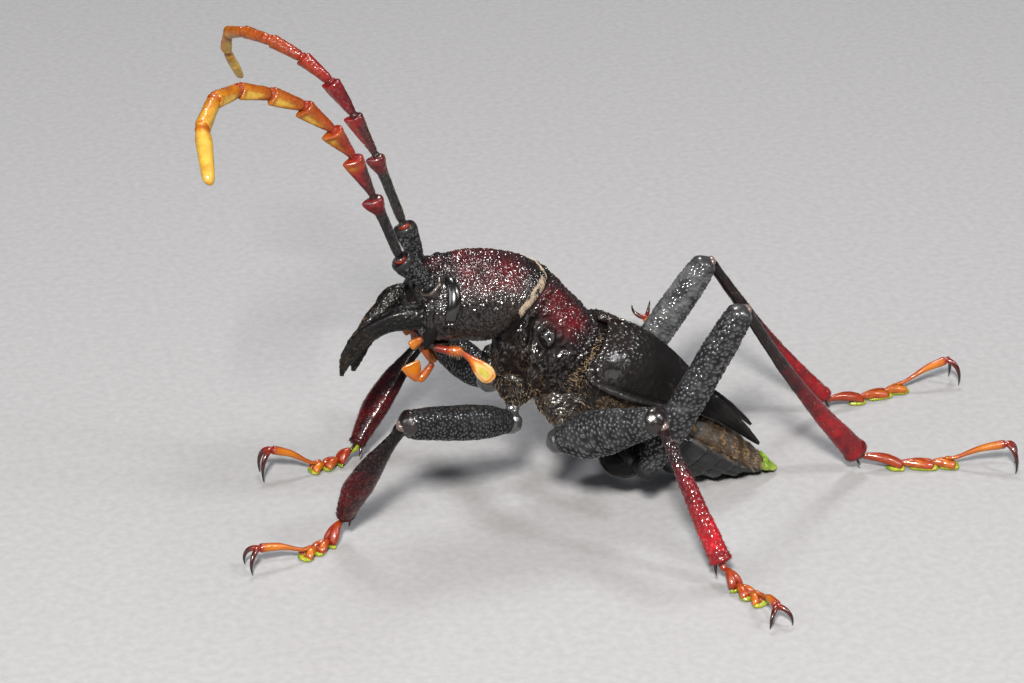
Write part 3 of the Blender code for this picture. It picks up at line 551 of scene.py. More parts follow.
def set_stage():
    """A pale matt floor, a small bright key from the camera's left, broad soft fills, and a pale surround."""
    scene = bpy.context.scene
    for name, towards, distance, size, power, colour in LIGHTS:
        data = bpy.data.lights.new(name, "AREA")
        data.size = size
        data.energy = power
        data.color = linear(colour)[:3]
        aimed(name, data, unit(towards), (LIT_PLACE + SHIFT) * MM + unit(towards) * distance)
    world = bpy.data.worlds.new("surround")
    world.use_nodes = True
    fill(world.node_tree, world.node_tree.nodes["Background"], {"Color": linear("e4e5e8"), "Strength": 0.07})
    scene.world = world
    scene.view_settings.view_transform = "Standard"
    mesh = bpy.data.meshes.new("floor")
    corners = [(x * FLOOR_HALF, y * FLOOR_HALF, 0.0) for x, y in ((-1, -1), (1, -1), (1, 1), (-1, 1))]
    mesh.from_pydata(corners, [], [(0, 1, 2, 3)])
    floor = bpy.data.objects.new("floor", mesh)
    scene.collection.objects.link(floor)
    # Matt card, pale grey, with a trace of fibre.
    card, tree, shader = new_material("matt_card")
    place = add(tree, "ShaderNodeTexCoord").outputs["Object"]
    fibre = add(tree, "ShaderNodeTexNoise", None, {"Vector": place, "Scale": 1.0 / (0.8 * MM), "Detail": 4.0})
    colour = add(tree, "ShaderNodeValToRGB", {"stops": [(0.3, "7c7c7e"), (0.7, "848486")]},
                 {0: fibre.outputs["Fac"]})
    fill(tree, shader, {"Base Color": colour.outputs["Color"], "Roughness": 0.9})
    floor.data.materials.append(card)


# The head

# Each row: x and z of its top, x and z of its underside, half width, share of the way down at which it is widest,
# how far its sides lie ahead of the middle.
HEAD = (
    (-16.30, 22.10, -16.30, 18.60, 3.60, 0.50, 0.0),
    (-15.95, 22.90, -16.05, 17.95, 3.95, 0.50, 0.0),
    (-15.20, 23.60, -15.40, 17.60, 4.15, 0.50, 0.0),
    (-14.00, 24.15, -14.40, 17.45, 4.35, 0.50, 0.0),
    (-12.20, 24.40, -13.10, 17.30, 4.45, 0.50, 0.0),
    (-10.20, 24.35, -11.80, 17.10, 4.55, 0.48, 0.0),
    (-8.30, 23.95, -10.70, 16.95, 4.55, 0.46, 0.30),
    (-6.35, 23.32, -9.75, 17.00, 4.40, 0.45, 0.75),
    (-4.80, 22.50, -8.77, 17.42, 4.10, 0.45, 1.15),
)
HEAD_POWER = 2.25
GRAIN = 0.26


def head_section(top_x, top_z, under_x, under_z, share):
    """The middle of a section of the head, where it is widest, with the section's upward direction and height."""
    top = np.stack([top_x, 0.0 * top_x, top_z], axis=-1)
    under = np.stack([under_x, 0.0 * top_x, under_z], axis=-1)
    length = np.linalg.norm(top - under, axis=-1)
    upward = (top - under) / length[..., None]
    return top - upward * (length * share)[..., None], upward, length


def head_rows(table, columns):
    """Rings of the head from its rows: each is an oval in the plane through its top and underside."""
    share = table[:, 5]
    middle, upward, length = head_section(*table.T[:4], share)
    across = np.broadcast_to(ACROSS, middle.shape)
    grid = rings(middle, across, upward, table[:, 4], length * share, length * (1.0 - share), HEAD_POWER, columns)
    sideways = (grid[..., 1] / table[:, 4][:, None]) ** 2
    return grid - BACKWARD * (table[:, 6][:, None] * sideways)[..., None]


def head_spot(x, degrees, side, out=0.0):
    """Places on the head: x of the section's top, degrees round from the top, millimetres out of the surface."""
    table = np.array(HEAD)
    x, degrees, out = np.broadcast_arrays(np.asarray(x, float), degrees, out)
    row = [np.interp(x, table[:, 0], table[:, k]) for k in range(6)]
    middle, upward, length = head_section(*row[:4], row[5])
    a, b = superellipse(degrees / 360.0, HEAD_POWER)
    tall = length * np.where(b > 0.0, row[5], 1.0 - row[5]) + out
    return middle + ACROSS * ((row[4] + out) * a * side)[..., None] + upward * (tall * b)[..., None]


EYE_FROM = -14.55
EYE_TO = -13.15
EYE_HIGH = 26.0
EYE_LOW = 98.0


def eye_shape(u, power):
    """The eye at a share u of its length from the top: its middle, its half width and how far its end is off."""
    ends = held(1.0 - np.abs(2.0 * u - 1.0) ** power) ** 0.5
    return 0.5 * (EYE_FROM + EYE_TO) + 0.35 * np.sin(np.pi * u), (0.45 + 0.30 * u) * (0.35 + 0.65 * ends), ends


def eye_cover(x, degrees, margin):
    """How far a place on the head lies inside the kidney-shaped eye: 1 within it and 0 outside its margin."""
    middle, half, _ = eye_shape(held((degrees - EYE_HIGH) / (EYE_LOW - EYE_HIGH)), 2.6)
    beyond = np.maximum(EYE_HIGH - degrees, degrees - EYE_LOW) / 15.0
    reach = np.maximum(np.abs(x - middle) - half, beyond)
    return fade(-0.05, margin, reach)


def head_skin():
    """The head capsule: rings along its rows, closed by a blunt face. Its height adds a groove down the middle
    of the brow, hollows under the eyes, swollen temples and grains that grow finer on the cheeks."""
    columns = 350
    table = curve(HEAD, HEAD_ROWS)
    grid = head_rows(table, columns)
    blunt = np.array([0.0, 0.25, 0.5, 0.7, 0.85, 0.95])
    centre = grid[0].mean(axis=0)
    face = [centre + (grid[0] - centre) * s - np.array([0.35, 0.0, 0.0]) * (1.0 - s * s) for s in blunt]
    shut = grid[-1].mean(axis=0)
    rear = [shut + (grid[-1] - shut) * s for s in (0.92, 0.7, 0.4, 0.1)]
    grid = np.concatenate([np.array(face), grid, np.array(rear)])
    x = np.concatenate([np.full(len(blunt), HEAD[0][0]), table[:, 0], np.full(4, HEAD[-1][0])])[:, None]
    inside = np.concatenate([0.3 * blunt, np.ones(len(table)), np.zeros(4)])[:, None]
    degrees = from_top(columns)
    eye = eye_cover(x, degrees, 0.04)
    rim = held(eye_cover(x, degrees, 0.45) - eye)
    coarse = beads(grid, GRAIN, 11)
    small = beads(grid, 0.6 * GRAIN, 12)
    crown = fade(62.0, 100.0, degrees)
    temple = ease(-9.5, -6.5, x) * ease(30.0, 60.0, degrees)
    gena = bell(x, -15.6, 0.8) * bell(degrees, 105.0, 22.0)
    front = fade(-15.8, -15.0, x)
    throat = ease(130.0, 150.0, degrees)
    amount = inside * (1.0 - eye) * (1.0 - 0.7 * gena) * (1.0 - 0.25 * front) * (1.0 - 0.6 * throat)
    big = amount * (1.0 - 0.75 * temple) * (0.45 + 0.55 * crown)
    fine = amount * (0.5 + 0.5 * temple)
    height = 0.11 * big * coarse + 0.07 * fine * small
    height += 0.10 * inside * cloud(grid, 1.6, 13) + 0.04 * inside * cloud(grid, 0.5, 14, 2)
    height -= 0.16 * eye * inside
    height += 0.03 * rim * inside
    groove = bell(degrees, 0.0, 4.5) * fade(-13.0, -10.5, x)
    height -= 0.32 * groove * inside
    height += 0.22 * bell(x, -15.0, 0.7) * bell(degrees, 24.0, 9.0)
    height -= 0.22 * bell(x, -15.55, 0.22) * ease(60.0, 80.0, degrees) * fade(120.0, 140.0, degrees)
    height += 0.04 * throat * np.sin(x * 9.0) * inside
    grid = raised(grid, height)
    flush = ease(-13.9, -12.3, x) * fade(-7.4, -5.2, x) * fade(40.0, 92.0, degrees)
    flush = np.maximum(flush, 0.75 * bell(x, -14.0, 1.4) * bell(degrees, 9.0, 13.0))
    flush = flush * (0.82 + 0.30 * cloud(grid, 1.2, 15))
    tone = held(0.10 + 0.80 * flush)
    pale = np.clip(0.5 * temple * (1.0 - throat) + 0.35 * ease(85.0, 115.0, degrees) * ease(-14.0, -12.0, x), 0.0, 0.6)
    grain = held(big * coarse + fine * small) + 0.4 * gena
    return tube(grid, tone=tone, grain=held(grain), dust=0.45 * pale * (1.0 - grain))


def eye_lens(side):
    """One eye: a kidney-shaped lens whose middle stands 0.3 mm out of the head and whose edge dips under its rim;
    the height falls off with sqrt(1 - v^2) across and with a rounded end along."""
    u = np.linspace(0.0, 1.0, 90)[:, None]
    v = np.sin(np.linspace(-0.5 * np.pi, 0.5 * np.pi, 48))[None, :]
    degrees = EYE_HIGH + u * (EYE_LOW - EYE_HIGH)
    middle, half, ends = eye_shape(u, 4.0)
    x = middle + v * (half + 0.12)
    cover = np.sqrt(held(1.0 - v ** 2)) * ends
    outer = head_spot(x, degrees, side, 0.36 * cover ** 1.1 - 0.20 * (1.0 - cover))
    inner = head_spot(x, degrees, side, -0.75)
    return slab(outer, inner, tone=0.3 + 0.4 * (1.0 - cover))


# The leaning body

# Each row: station, half width, rise of the top, rise at which it is widest, rise of the underside.
PROTHORAX = (
    (-0.28, 4.30, 0.00, -3.0, -6.7),
    (0.85, 4.75, 0.00, -3.3, -8.6),
    (2.50, 4.95, -0.15, -3.6, -9.8),
    (4.20, 4.80, -0.20, -4.0, -10.1),
    (5.50, 4.45, -0.25, -4.2, -9.6),
    (6.30, 4.05, -0.35, -4.3, -8.9),
)
SKEW = 0.11
COLLAR_AHEAD = 1.15
BOSS = {"station": 2.0, "rise": -3.35}


def slope(station, rise, y=0.0):
    """The place at a station and a rise of the leaning body."""
    station, rise, y = np.broadcast_arrays(station, rise, y)
    return SLOPE_FOOT + station[..., None] * BACKWARD + rise[..., None] * UPWARD + y[..., None] * ACROSS


def body_rows(table, columns, power, skew=0.0, forward=0.0):
    """Rings of the leaning body. With skew a ring's top lies ahead of its underside; with forward its sides lie
    ahead of its middle, by the square of how far out they are."""
    station, width, top, middle, under = table.T
    across = np.broadcast_to(ACROSS, (len(table), 3))
    upward = np.broadcast_to(UPWARD, (len(table), 3))
    grid = rings(slope(station, middle), across, upward, width, top - middle, middle - under, power, columns)
    rise = (grid - slope(station, top)[:, None]) @ UPWARD
    grid = grid - BACKWARD * (rise * np.reshape(skew, (-1, 1)))[..., None]
    return grid - BACKWARD * (np.reshape(forward, (-1, 1)) * (grid[..., 1] / width[:, None]) ** 2)[..., None]


def flank_fold(degrees):
    """Where the collar's side plates meet its underside: 1 from 72 to 150 degrees round from the top."""
    return ease(58.0, 72.0, degrees) * fade(150.0, 165.0, degrees)


def to_line(station, rise, a, b):
    """The distance in millimetres to the straight line from a to b, each a station and a rise."""
    way = np.array(b) - np.array(a)
    t = held(((station - a[0]) * way[0] + (rise - a[1]) * way[1]) / np.dot(way, way))
    return np.hypot(station - a[0] - t * way[0], rise - a[1] - t * way[1])


def closed_ends(grid, shares=(0.95, 0.75, 0.45, 0.15)):
    """The rings with more added at each end, shrinking to the middle, so that the end is a flat disc."""
    first = grid[0].mean(axis=0)
    last = grid[-1].mean(axis=0)
    ahead = [first + (grid[0] - first) * s for s in shares[::-1]]
    behind = [last + (grid[-1] - last) * s for s in shares]
    return np.concatenate([np.array(ahead), grid, np.array(behind)])


def collar_skin():
    """The pronotum and its underside: a rolled front edge, a blunt boss on each side with a hollow round it, two
    low swellings on the disc, a groove before the hind edge, and coarse grains."""
    columns = 340
    table = curve(PROTHORAX, COLLAR_ROWS)
    share = (table[:, 0] - PROTHORAX[0][0]) / (PROTHORAX[-1][0] - PROTHORAX[0][0])
    forward = COLLAR_AHEAD * held(1.0 - (table[:, 0] + 0.28) / 4.0)
    grid = closed_ends(body_rows(table, columns, 2.2, SKEW * (1.0 - share), forward))
    station = np.concatenate([np.full(4, table[0, 0]), table[:, 0], np.full(4, table[-1, 0])])[:, None]
    solid = np.concatenate([np.zeros(4), np.ones(len(table)), np.zeros(4)])[:, None]
    solid = solid * ease(-0.28, -0.1, station) * fade(6.1, 6.3, station)
    degrees = from_top(columns)
    rise = (grid - SLOPE_FOOT) @ UPWARD
    offset = np.hypot(station - BOSS["station"], (rise - BOSS["rise"]) / 0.85) * np.ones_like(rise)
    flank = ease(50.0, 75.0, degrees) * fade(125.0, 145.0, degrees)
    offset = offset + 0.35 * (cloud(grid, 0.8, 28) - 0.5) + 0.12 * (cloud(grid, 0.3, 29) - 0.5)
    boss = bell(offset, 0.0, 0.42) * flank
    moat = bell(offset, 1.15, 0.55) * flank
    coarse = beads(grid, GRAIN * 1.05, 21)
    small = beads(grid, 0.17, 22)
    above = fade(105.0, 135.0, degrees)
    amount = solid * above * fade(0.2, 0.5, boss) * fade(0.2, 0.6, moat)
    height = 0.13 * amount * coarse + 0.03 * solid * (1.0 - amount) * small
    height += solid * (0.10 * cloud(grid, 1.5, 23) + 0.04 * cloud(grid, 0.4, 24, 2))
    height += 0.42 * boss - 0.42 * moat * solid
    lower = ease(88.0, 112.0, degrees) * solid
    pebbles = beads(grid, 0.30, 27, 0.9) * ease(0.35, 0.6, cloud(grid, 1.0, 31))
    height += lower * (0.26 * cloud(grid, 1.1, 26, 2) + 0.10 * pebbles)
    height -= 0.30 * bell(to_line(station, rise, (0.2, -3.2), (3.4, -9.4)), 0.0, 0.22) * flank_fold(degrees) * solid
    height -= 0.22 * bell(to_line(station, rise, (2.9, -4.4), (6.2, -8.4)), 0.0, 0.20) * flank_fold(degrees) * solid
    height += 0.20 * bell(station, -0.02, 0.20) - 0.16 * bell(station, 0.50, 0.22) * above
    height += 0.22 * bell(station, 2.3, 1.2) * bell(degrees, 30.0, 14.0)
    height -= 0.16 * bell(station, 3.2, 1.6) * bell(degrees, 0.0, 9.0)
    height -= 0.20 * bell(station, 5.35, 0.28) * above
    height += 0.10 * bell(station, 5.9, 0.22) * above
    grid = raised(grid, height)
    keep("pronotum", grid)
    flush = bell(station, 1.5, 2.6) * bell(degrees, 48.0, 34.0)
    flush = flush + 0.5 * bell(station, 3.4, 3.0) * bell(degrees, 30.0, 34.0)
    flush = held(flush) * (0.85 + 0.25 * cloud(grid, 1.2, 25)) * (1.0 - boss)
    under = ease(95.0, 125.0, degrees)
    tone = held(0.06 + flush)
    grain = held(amount * coarse + 0.9 * ease(0.3, 0.7, boss) + 0.22 * moat + lower * pebbles)
    return tube(grid, tone=tone, grain=grain, dust=0.06 * under * (1.0 - grain))


def neck_skin():
    """The soft neck between head and collar: rings blended from the head's last ring to the collar's first, sunk a
    little below both."""
    columns = 380
    head_end = curve(HEAD, HEAD_ROWS)[-6:-5]
    first = head_rows(head_end, columns)[0]
    station = curve(PROTHORAX, COLLAR_ROWS)[1:2]
    second = body_rows(station, columns, 2.2, SKEW, COLLAR_AHEAD)[0]
    shares = np.linspace(0.0, 1.0, 14)[:, None, None]
    grid = first * (1.0 - shares) + second * shares
    middle = grid.mean(axis=1, keepdims=True)
    grid = middle + (grid - middle) * (0.985 - 0.010 * np.sin(np.pi * shares))
    grid = closed_ends(grid)
    keep("neck", grid)
    return tube(grid, tone=0.1)


# The wing cases: each row is station, rise of the seam, rise of the outer edge, width, distance of the seam from
# the midline.
WING_CASE = (
    (6.9, 0.30, -3.90, 3.60, 1.00),
    (7.8, 0.65, -4.20, 3.95, 0.75),
    (9.0, 1.15, -4.10, 4.50, 0.22),
    (10.5, 1.60, -3.70, 4.70, 0.15),
    (12.2, 1.85, -3.10, 4.70, 0.15),
    (14.0, 1.90, -2.30, 4.55, 0.15),
    (16.0, 1.80, -1.40, 4.15, 0.15),
    (18.0, 1.60, -0.60, 3.45, 0.20),
    (20.0, 1.45, -0.15, 2.65, 0.45),
    (22.0, 1.35, 0.20, 1.85, 0.85),
    (24.0, 1.25, 0.45, 1.25, 1.12),
    (25.6, 1.10, 0.60, 0.78, 1.25),
    (26.6, 0.95, 0.70, 0.25, 1.40),
)
ROOF = 1.12
SHOULDER = {"station": 8.7, "turn": 62.0, "rise": 0.30, "long": 1.2, "wide": 17.0}


def sheet_normals(grid, inside):
    """The normals of an open grid, turned away from a place inside."""
    normal = unit(np.cross(np.gradient(grid, axis=0), np.gradient(grid, axis=1)))
    return normal if np.sum(normal * (grid - inside)) > 0.0 else -normal


def wing_case(side, lift, seed):
    """One wing case: at each station its rise falls from the seam to the edge with cos^1.12 and its width grows
    with sin^1.12 of a quarter turn. It has a polished shoulder knob, a beaded edge, two faint ribs, grains near
    the base, and fine pits that turn to grooves along the tail."""
    table = curve(WING_CASE, 200)
    station, seam, edge, width, apart = (table[:, k][:, None] for k in range(5))
    turn = np.linspace(0.0, 90.0, 115)[None, :]
    angle = np.radians(turn)
    tail = held((station - 18.0) / 8.6)
    near = ((station - SHOULDER["station"]) / SHOULDER["long"]) ** 2
    near = near + ((turn - SHOULDER["turn"]) / SHOULDER["wide"]) ** 2
    knob = np.exp(-near)
    rise = edge + (seam - edge + SHOULDER["rise"] * knob) * np.cos(angle) ** ROOF
    wide = apart + lift * tail + (width + SHOULDER["rise"] * knob) * np.sin(angle) ** ROOF
    grid = slope(station, rise + lift * tail, side * wide)
    normal = sheet_normals(grid, slope(12.0, -4.0))
    coarse = beads(grid, 0.40, seed)
    pits = beads(grid, 0.24, seed + 1, 0.9)
    base = fade(9.0, 13.0, station + 0.02 * turn) * fade(0.25, 0.7, knob)
    rim = bell(turn, 88.0, 3.0)
    dots = beads(grid, 0.46, seed + 7) ** 4 * (1.0 - base) * (1.0 - knob) * ease(0.35, 0.6, cloud(grid, 1.2, seed + 8))
    height = 0.15 * base * coarse - 0.035 * (1.0 - base) * pits * (1.0 - knob)
    height = height + 0.05 * cloud(grid, 1.8, seed + 2) + 0.012 * cloud(grid, 0.3, seed + 3, 2)
    height = height + 0.10 * rim - 0.12 * bell(turn, 81.0, 3.5) + 0.05 * dots
    height = height + 0.07 * ease(10.0, 13.0, station) * (bell(turn, 24.0, 4.0) + bell(turn, 50.0, 4.5))
    waves = np.sin(turn * 0.62 + 2.0 * cloud(grid, 1.5, seed + 6))
    height = height + 0.09 * ease(0.1, 0.5, tail) * waves * np.sqrt(held(width / 1.5))
    height = height + 0.10 * bell(turn, 1.5, 2.5)
    height = height * np.clip(width / 1.2, 0.25, 1.0)
    outer = grid + normal * height[..., None]
    thick = 0.14 + 0.30 * np.sin(np.radians(2.0 * turn)) * np.clip(width / 2.0, 0.2, 1.0)
    inner = grid - normal * thick[..., None]
    tone = held(0.15 + 0.5 * base * (0.6 + 0.4 * cloud(grid, 0.9, seed + 4)) + 0.2 * cloud(grid, 0.7, seed + 5))
    grain = held(base * coarse + ease(0.2, 0.5, knob) + 0.55 * rim + 0.25 * tail + 0.8 * dots)
    return slab(outer, inner, tone=held(tone * (1.0 - 0.8 * knob) + 0.6 * dots), grain=grain,
                dust=0.15 * base * (1.0 - coarse))


# The mouth and the feelers' sockets

MANDIBLE = {
    "left": ((-16.0, -2.9, 20.6), (-17.8, -2.95, 20.6), (-19.4, -2.6, 20.1), (-21.0, -1.9, 18.9),
             (-22.2, -1.25, 17.0), (-22.75, -0.9, 15.8), (-23.0, -0.7, 14.6)),
    "right": ((-16.0, 2.9, 20.0), (-17.5, 2.8, 19.9), (-18.6, 2.1, 19.2), (-19.8, 1.4, 18.3),
              (-20.8, 0.95, 17.0), (-21.4, 0.8, 15.7), (-21.75, 0.6, 14.3)),
}
MANDIBLE_THICK = (1.0, 0.95, 0.8, 0.65, 0.5, 0.36, 0.14)
MANDIBLE_BROAD = (1.1, 1.15, 0.92, 0.9, 0.85, 0.62, 0.2)
SOCKET = {
    "left": (np.array([-15.45, -2.4, 23.2]), np.array([-2.8, -0.5, 3.1])),
    "right": (np.array([-15.35, 2.4, 23.3]), np.array([-1.4, 0.25, 3.8])),
}


def mandible(name, seed):
    """A sickle jaw: an oval blade along its path, with a raised keel on its outer upper side, pits on its flank,
    grooves towards the point, and a cutting edge with a broad tooth on a low raised rim."""
    rows, columns = 150, 100
    side = SIDES[name]
    path = curve(MANDIBLE[name], rows)
    share = np.linspace(0.0, 1.0, rows)[:, None]
    grid, run = limb(path, spread(MANDIBLE_THICK, rows), spread(MANDIBLE_BROAD, rows), ACROSS, columns, 2.1)
    turn = turns(columns)
    outer_keel = 0.875 if side < 0.0 else 0.125
    edge = 0.5 + 0.06 * side
    keel = bell(turn, outer_keel, 0.05)
    cut = bell(turn, edge, 0.055)
    size = spread(MANDIBLE_BROAD, rows)[:, None]
    height = 0.16 * size * keel * ease(0.05, 0.3, share) - 0.12 * size * bell(turn, outer_keel - side * 0.11, 0.06)
    height = height + cut * (0.30 * bell(share, 0.50, 0.05) + 0.10 * ease(0.3, 0.5, share) * fade(0.9, 1.0, share))
    pits = beads(grid, 0.30, seed, 0.9)
    height = height - 0.09 * pits * (1.0 - 0.6 * keel) * (1.0 - 0.5 * cut) + 0.04 * cloud(grid, 0.7, seed + 1)
    height = height + 0.02 * np.sin(turn * 150.0) * ease(0.5, 0.7, share) * size
    height = height * domed(run, 0.6, 0.0, 0.6)[:, None]
    grid = raised(grid, height)
    keep("jaw_" + name, grid)
    return tube(grid, tone=0.35 * keel + 0.25 * cut, dust=0.25 * pits * (1.0 - keel) * ease(0.35, 0.6, share))


def rod(points, thick, broad, across, rows, columns, power=2.0, ends=(0.7, 0.7)):
    """A plain rounded limb through points, with the grid, its run in millimetres and its turn for patterns."""
    path = curve(points, rows)
    a = spread(thick, rows)
    b = spread(broad, rows)
    run = arc(path)
    round_off = domed(run, max(a[0], a[-1]), *ends)
    grid, run = limb(path, a * round_off, b * round_off, across, columns, power)
    return grid, run[:, None], turns(columns)


def mouth():
    """The lip between the jaws, the two cheek teeth that point down beside them, and the plate under the mouth."""
    made = []
    grid, _, _ = rod([(-14.6, 0.0, 21.3), (-16.4, 0.0, 21.0), (-17.3, 0.0, 20.3)], (1.5, 1.35, 0.95),
                          (0.7, 0.5, 0.25), ACROSS, 50, 80, 2.6)
    grid = raised(grid, 0.06 * beads(grid, 0.26, 51) + 0.05 * cloud(grid, 0.8, 52))
    made.append(tube(grid, tone=0.2, grain=0.4))
    for side in SIDES.values():
        tooth = [(-15.1, side * 3.1, 20.3), (-15.6, side * 3.45, 19.3), (-16.0, side * 3.75, 18.4),
                 (-16.25, side * 3.9, 17.8)]
        grid, _, _ = rod(tooth, (0.85, 0.75, 0.45, 0.10), (1.05, 0.85, 0.5, 0.10), ACROSS, 44, 44, 2.0, (0.5, 0.3))
        grid = raised(grid, 0.03 * cloud(grid, 0.6, 53))
        made.append(tube(grid, tone=0.0, grain=0.04))
        hinge = [(-15.7, side * 2.9, 20.4), (-16.45, side * 2.92, 20.4), (-16.7, side * 2.93, 20.4)]
        grid, _, _ = rod(hinge, (1.12, 1.25, 1.12), (1.3, 1.45, 1.3), ACROSS, 36, 64, 2.2)
        spots = beads(grid, 0.28, 56)
        grid = raised(grid, 0.05 * cloud(grid, 0.7, 54) + 0.06 * spots)
        made.append(tube(grid, tone=0.1, grain=0.9 * spots))
    under = [(-13.2, 0.0, 17.2), (-14.8, 0.0, 17.25), (-16.3, 0.0, 17.7)]
    grid, _, _ = rod(under, (2.6, 2.4, 1.7), (0.5, 0.5, 0.4), ACROSS, 40, 70, 2.4)
    grid = raised(grid, 0.08 * cloud(grid, 0.8, 55))
    made.append(tube(grid, tone=0.3, grain=0.3, dust=0.5))
    return made


def turned(place, ahead, across, stops, radii, rows, columns, squash=1.0):
    """Rings turned about a straight line, through radii at their stops along it, with the stops and radii."""
    table = curve(np.stack([stops, radii], axis=1), rows)
    path = place + table[:, :1] * ahead
    side, rise = (np.broadcast_to(way, path.shape) for way in (across, np.cross(across, ahead)))
    height = table[:, 1] * squash
    return rings(path, side, rise, table[:, 1], height, height, 2.0, columns), table


def level_across(ahead):
    """The direction square to ahead that lies nearest to ACROSS."""
    return unit(np.cross(np.cross(ahead, ACROSS), ahead))


def socket_ring(name):
    """The raised collar that a feeler turns in: a short barrel on the brow, its mouth rolled in, its rim pale."""
    place, ahead = SOCKET[name]
    ahead = unit(ahead)
    stops = np.array([-1.9, -1.0, -0.35, -0.08, 0.02, -0.02, -0.15, -0.5])
    radii = np.array([1.15, 1.22, 1.20, 1.12, 0.98, 0.84, 0.74, 0.3])
    grid, _ = turned(place, ahead, level_across(ahead), stops, radii, 44, 72)
    grid = grid + unit(grid - place) * (0.06 * cloud(grid, 0.6, 56))[..., None]
    inward = ease(0.55, 0.8, np.linspace(0.0, 1.0, 44))[:, None]
    return tube(grid, tone=0.12, grain=0.4 + 0.3 * inward, dust=0.75 * bell(inward, 0.5, 0.35))


# The feelers: the end of the first joint, then the ends of the nine long joints.
FEELER = {
    "left": ((-18.0, -2.8, 26.0), (-20.4, -3.8, 32.4), (-22.1, -4.4, 36.4), (-23.9, -5.2, 39.3),
             (-26.3, -5.7, 41.8), (-29.2, -6.7, 43.5), (-32.0, -8.3, 44.7), (-34.3, -10.7, 45.0),
             (-35.77, -13.7, 43.9), (-35.97, -18.0, 40.8)),
    "right": ((-16.6, 2.6, 26.7), (-18.9, 2.9, 33.4), (-20.7, 3.0, 37.2), (-22.5, 3.5, 40.2),
              (-24.7, 4.5, 42.2), (-27.0, 6.6, 43.2), (-28.9, 9.3, 43.2), (-29.9, 12.3, 42.2),
              (-29.8, 14.9, 39.7), (-28.1, 18.2, 35.7)),
}
JOINT_NARROW = {
    "left": (0.42, 0.36, 0.38, 0.43, 0.50, 0.56, 0.58, 0.60, 0.62),
    "right": (0.42, 0.36, 0.40, 0.45, 0.49, 0.50, 0.46, 0.42, 0.36),
}
JOINT_WIDE = {
    "left": (0.74, 0.74, 0.74, 0.70, 0.65, 0.64, 0.64, 0.65, 0.63),
    "right": (0.70, 0.70, 0.72, 0.68, 0.63, 0.58, 0.54, 0.50, 0.44),
}
JOINT_TOOTH = {
    "left": (0.60, 0.60, 0.62, 0.58, 0.46, 0.34, 0.24, 0.18, 0.1),
    "right": (0.46, 0.42, 0.40, 0.36, 0.32, 0.28, 0.22, 0.16, 0.1),
}
JOINT_TONE = {
    "left": (0.42, 0.60, 0.71, 0.75, 0.79, 0.82, 0.86, 0.92, 0.99),
    "right": (0.38, 0.42, 0.49, 0.60, 0.72, 0.80, 0.85, 0.90, 0.96),
}
JOINT_DARK = {
    "left": (0.40, 0.30, 0.08, 0.0, 0.0, 0.0, 0.0, 0.0, 0.0),
    "right": (0.38, 0.12, 0.04, 0.0, 0.0, 0.0, 0.0, 0.0, 0.0),
}
JOINT_POLISH = {
    "left": (0.02, 0.1, 0.0, 0.0, 0.0, 0.0, 0.0, 0.0, 0.0),
    "right": (0.18, 0.2, 0.0, 0.0, 0.0, 0.0, 0.0, 0.0, 0.0),
}


def feeler_joint(start, end, narrow, wide, tooth_way, tone, dark, polished, seed, last, slim, plump, barb):
    """One feeler joint: a ball set in the end before it, a thin neck, and a flare to a blunt end that reaches
    furthest on the tooth's side."""
    rows, columns = 60, 42
    reach = np.linalg.norm(end - start)
    ahead = (end - start) / reach
    if last:
        stops = (-0.12, 0.02, 0.10, 0.25, 0.55, 0.85, 0.95, 1.0)
        radii = (0.30, narrow, narrow, narrow * 1.15, wide, wide * 0.85, wide * 0.55, 0.05)
    else:
        stops = (-0.10, 0.0, 0.07, 0.16, 0.45, 0.76, 0.90, 0.955, 0.985, 1.0)
        early = (0.06, 0.22, 0.86, 1.0) if slim else (0.34, 0.74, 0.95, 1.0)
        early = (0.50, 0.86, 0.98, 1.0) if plump else early
        flare = [narrow + (wide - narrow) * s for s in early]
        radii = (0.25, narrow * 1.05, narrow * 0.80, narrow, *flare[:3], wide, wide * 0.84, wide * 0.45)
    tooth = unit(tooth_way - np.dot(tooth_way, ahead) * ahead)
    grid, table = turned(start, ahead, tooth, np.array(stops) * reach, radii, rows, columns, 0.92)
    turn = turns(columns)
    along = table[:, :1] / reach
    inside = np.arange(rows)[:, None] > np.argmax(table[:, 1])
    out = (ease(0.74, 0.96, along) if slim else held((along - 0.15) / 0.8)) * (0.0 if last else 1.0)
    out = np.where(inside, table[:, 1:] / wide, out)
    point = bell(turn, 0.25, 0.11) * out
    grid = grid + tooth * (barb * wide * point)[..., None]
    grid = grid + ahead * (0.30 * wide * point * ease(0.8, 0.95, along))[..., None]
    belly = (bell(turn, 0.37, 0.06) + bell(turn, 0.13, 0.06)) * ease(0.22, 0.45, along) * fade(0.84, 0.93, along)
    outer = bell(np.abs(turn - 0.25), 0.5, 0.20)
    spots = beads(grid, 0.24, seed) * (1.0 - polished) * ease(0.05, 0.15, along) * (0.3 + 0.7 * outer)
    height = 0.04 * spots - 0.07 * belly * (1.0 - polished) + 0.02 * cloud(grid, 0.5, seed + 1)
    grid = raised(grid, np.where(inside, 0.0, height))
    keep(f"joint_{seed}_{int(start[1] > 0.0)}", grid)
    ring = bell(along, 0.05, 0.05) + ease(0.93, 0.99, along)
    colour = tone + 0.08 * (along - 0.5)
    colour = colour + (0.16 * belly + 0.10 * bell(turn, 0.25, 0.16) * ease(0.3, 0.6, along)) * (1.0 - slim)
    colour = colour - 0.12 * ring * (0.3 + tone) - 0.07 * outer * fade(0.8, 1.0, tone)
    colour = colour + dark * (ease(0.66, 0.86, along) - 1.0)
    colour = np.where(inside, colour + 0.02, colour)
    return tube(grid, tone=held(colour), grain=held(spots + polished * (1.0 - 0.5 * out)))


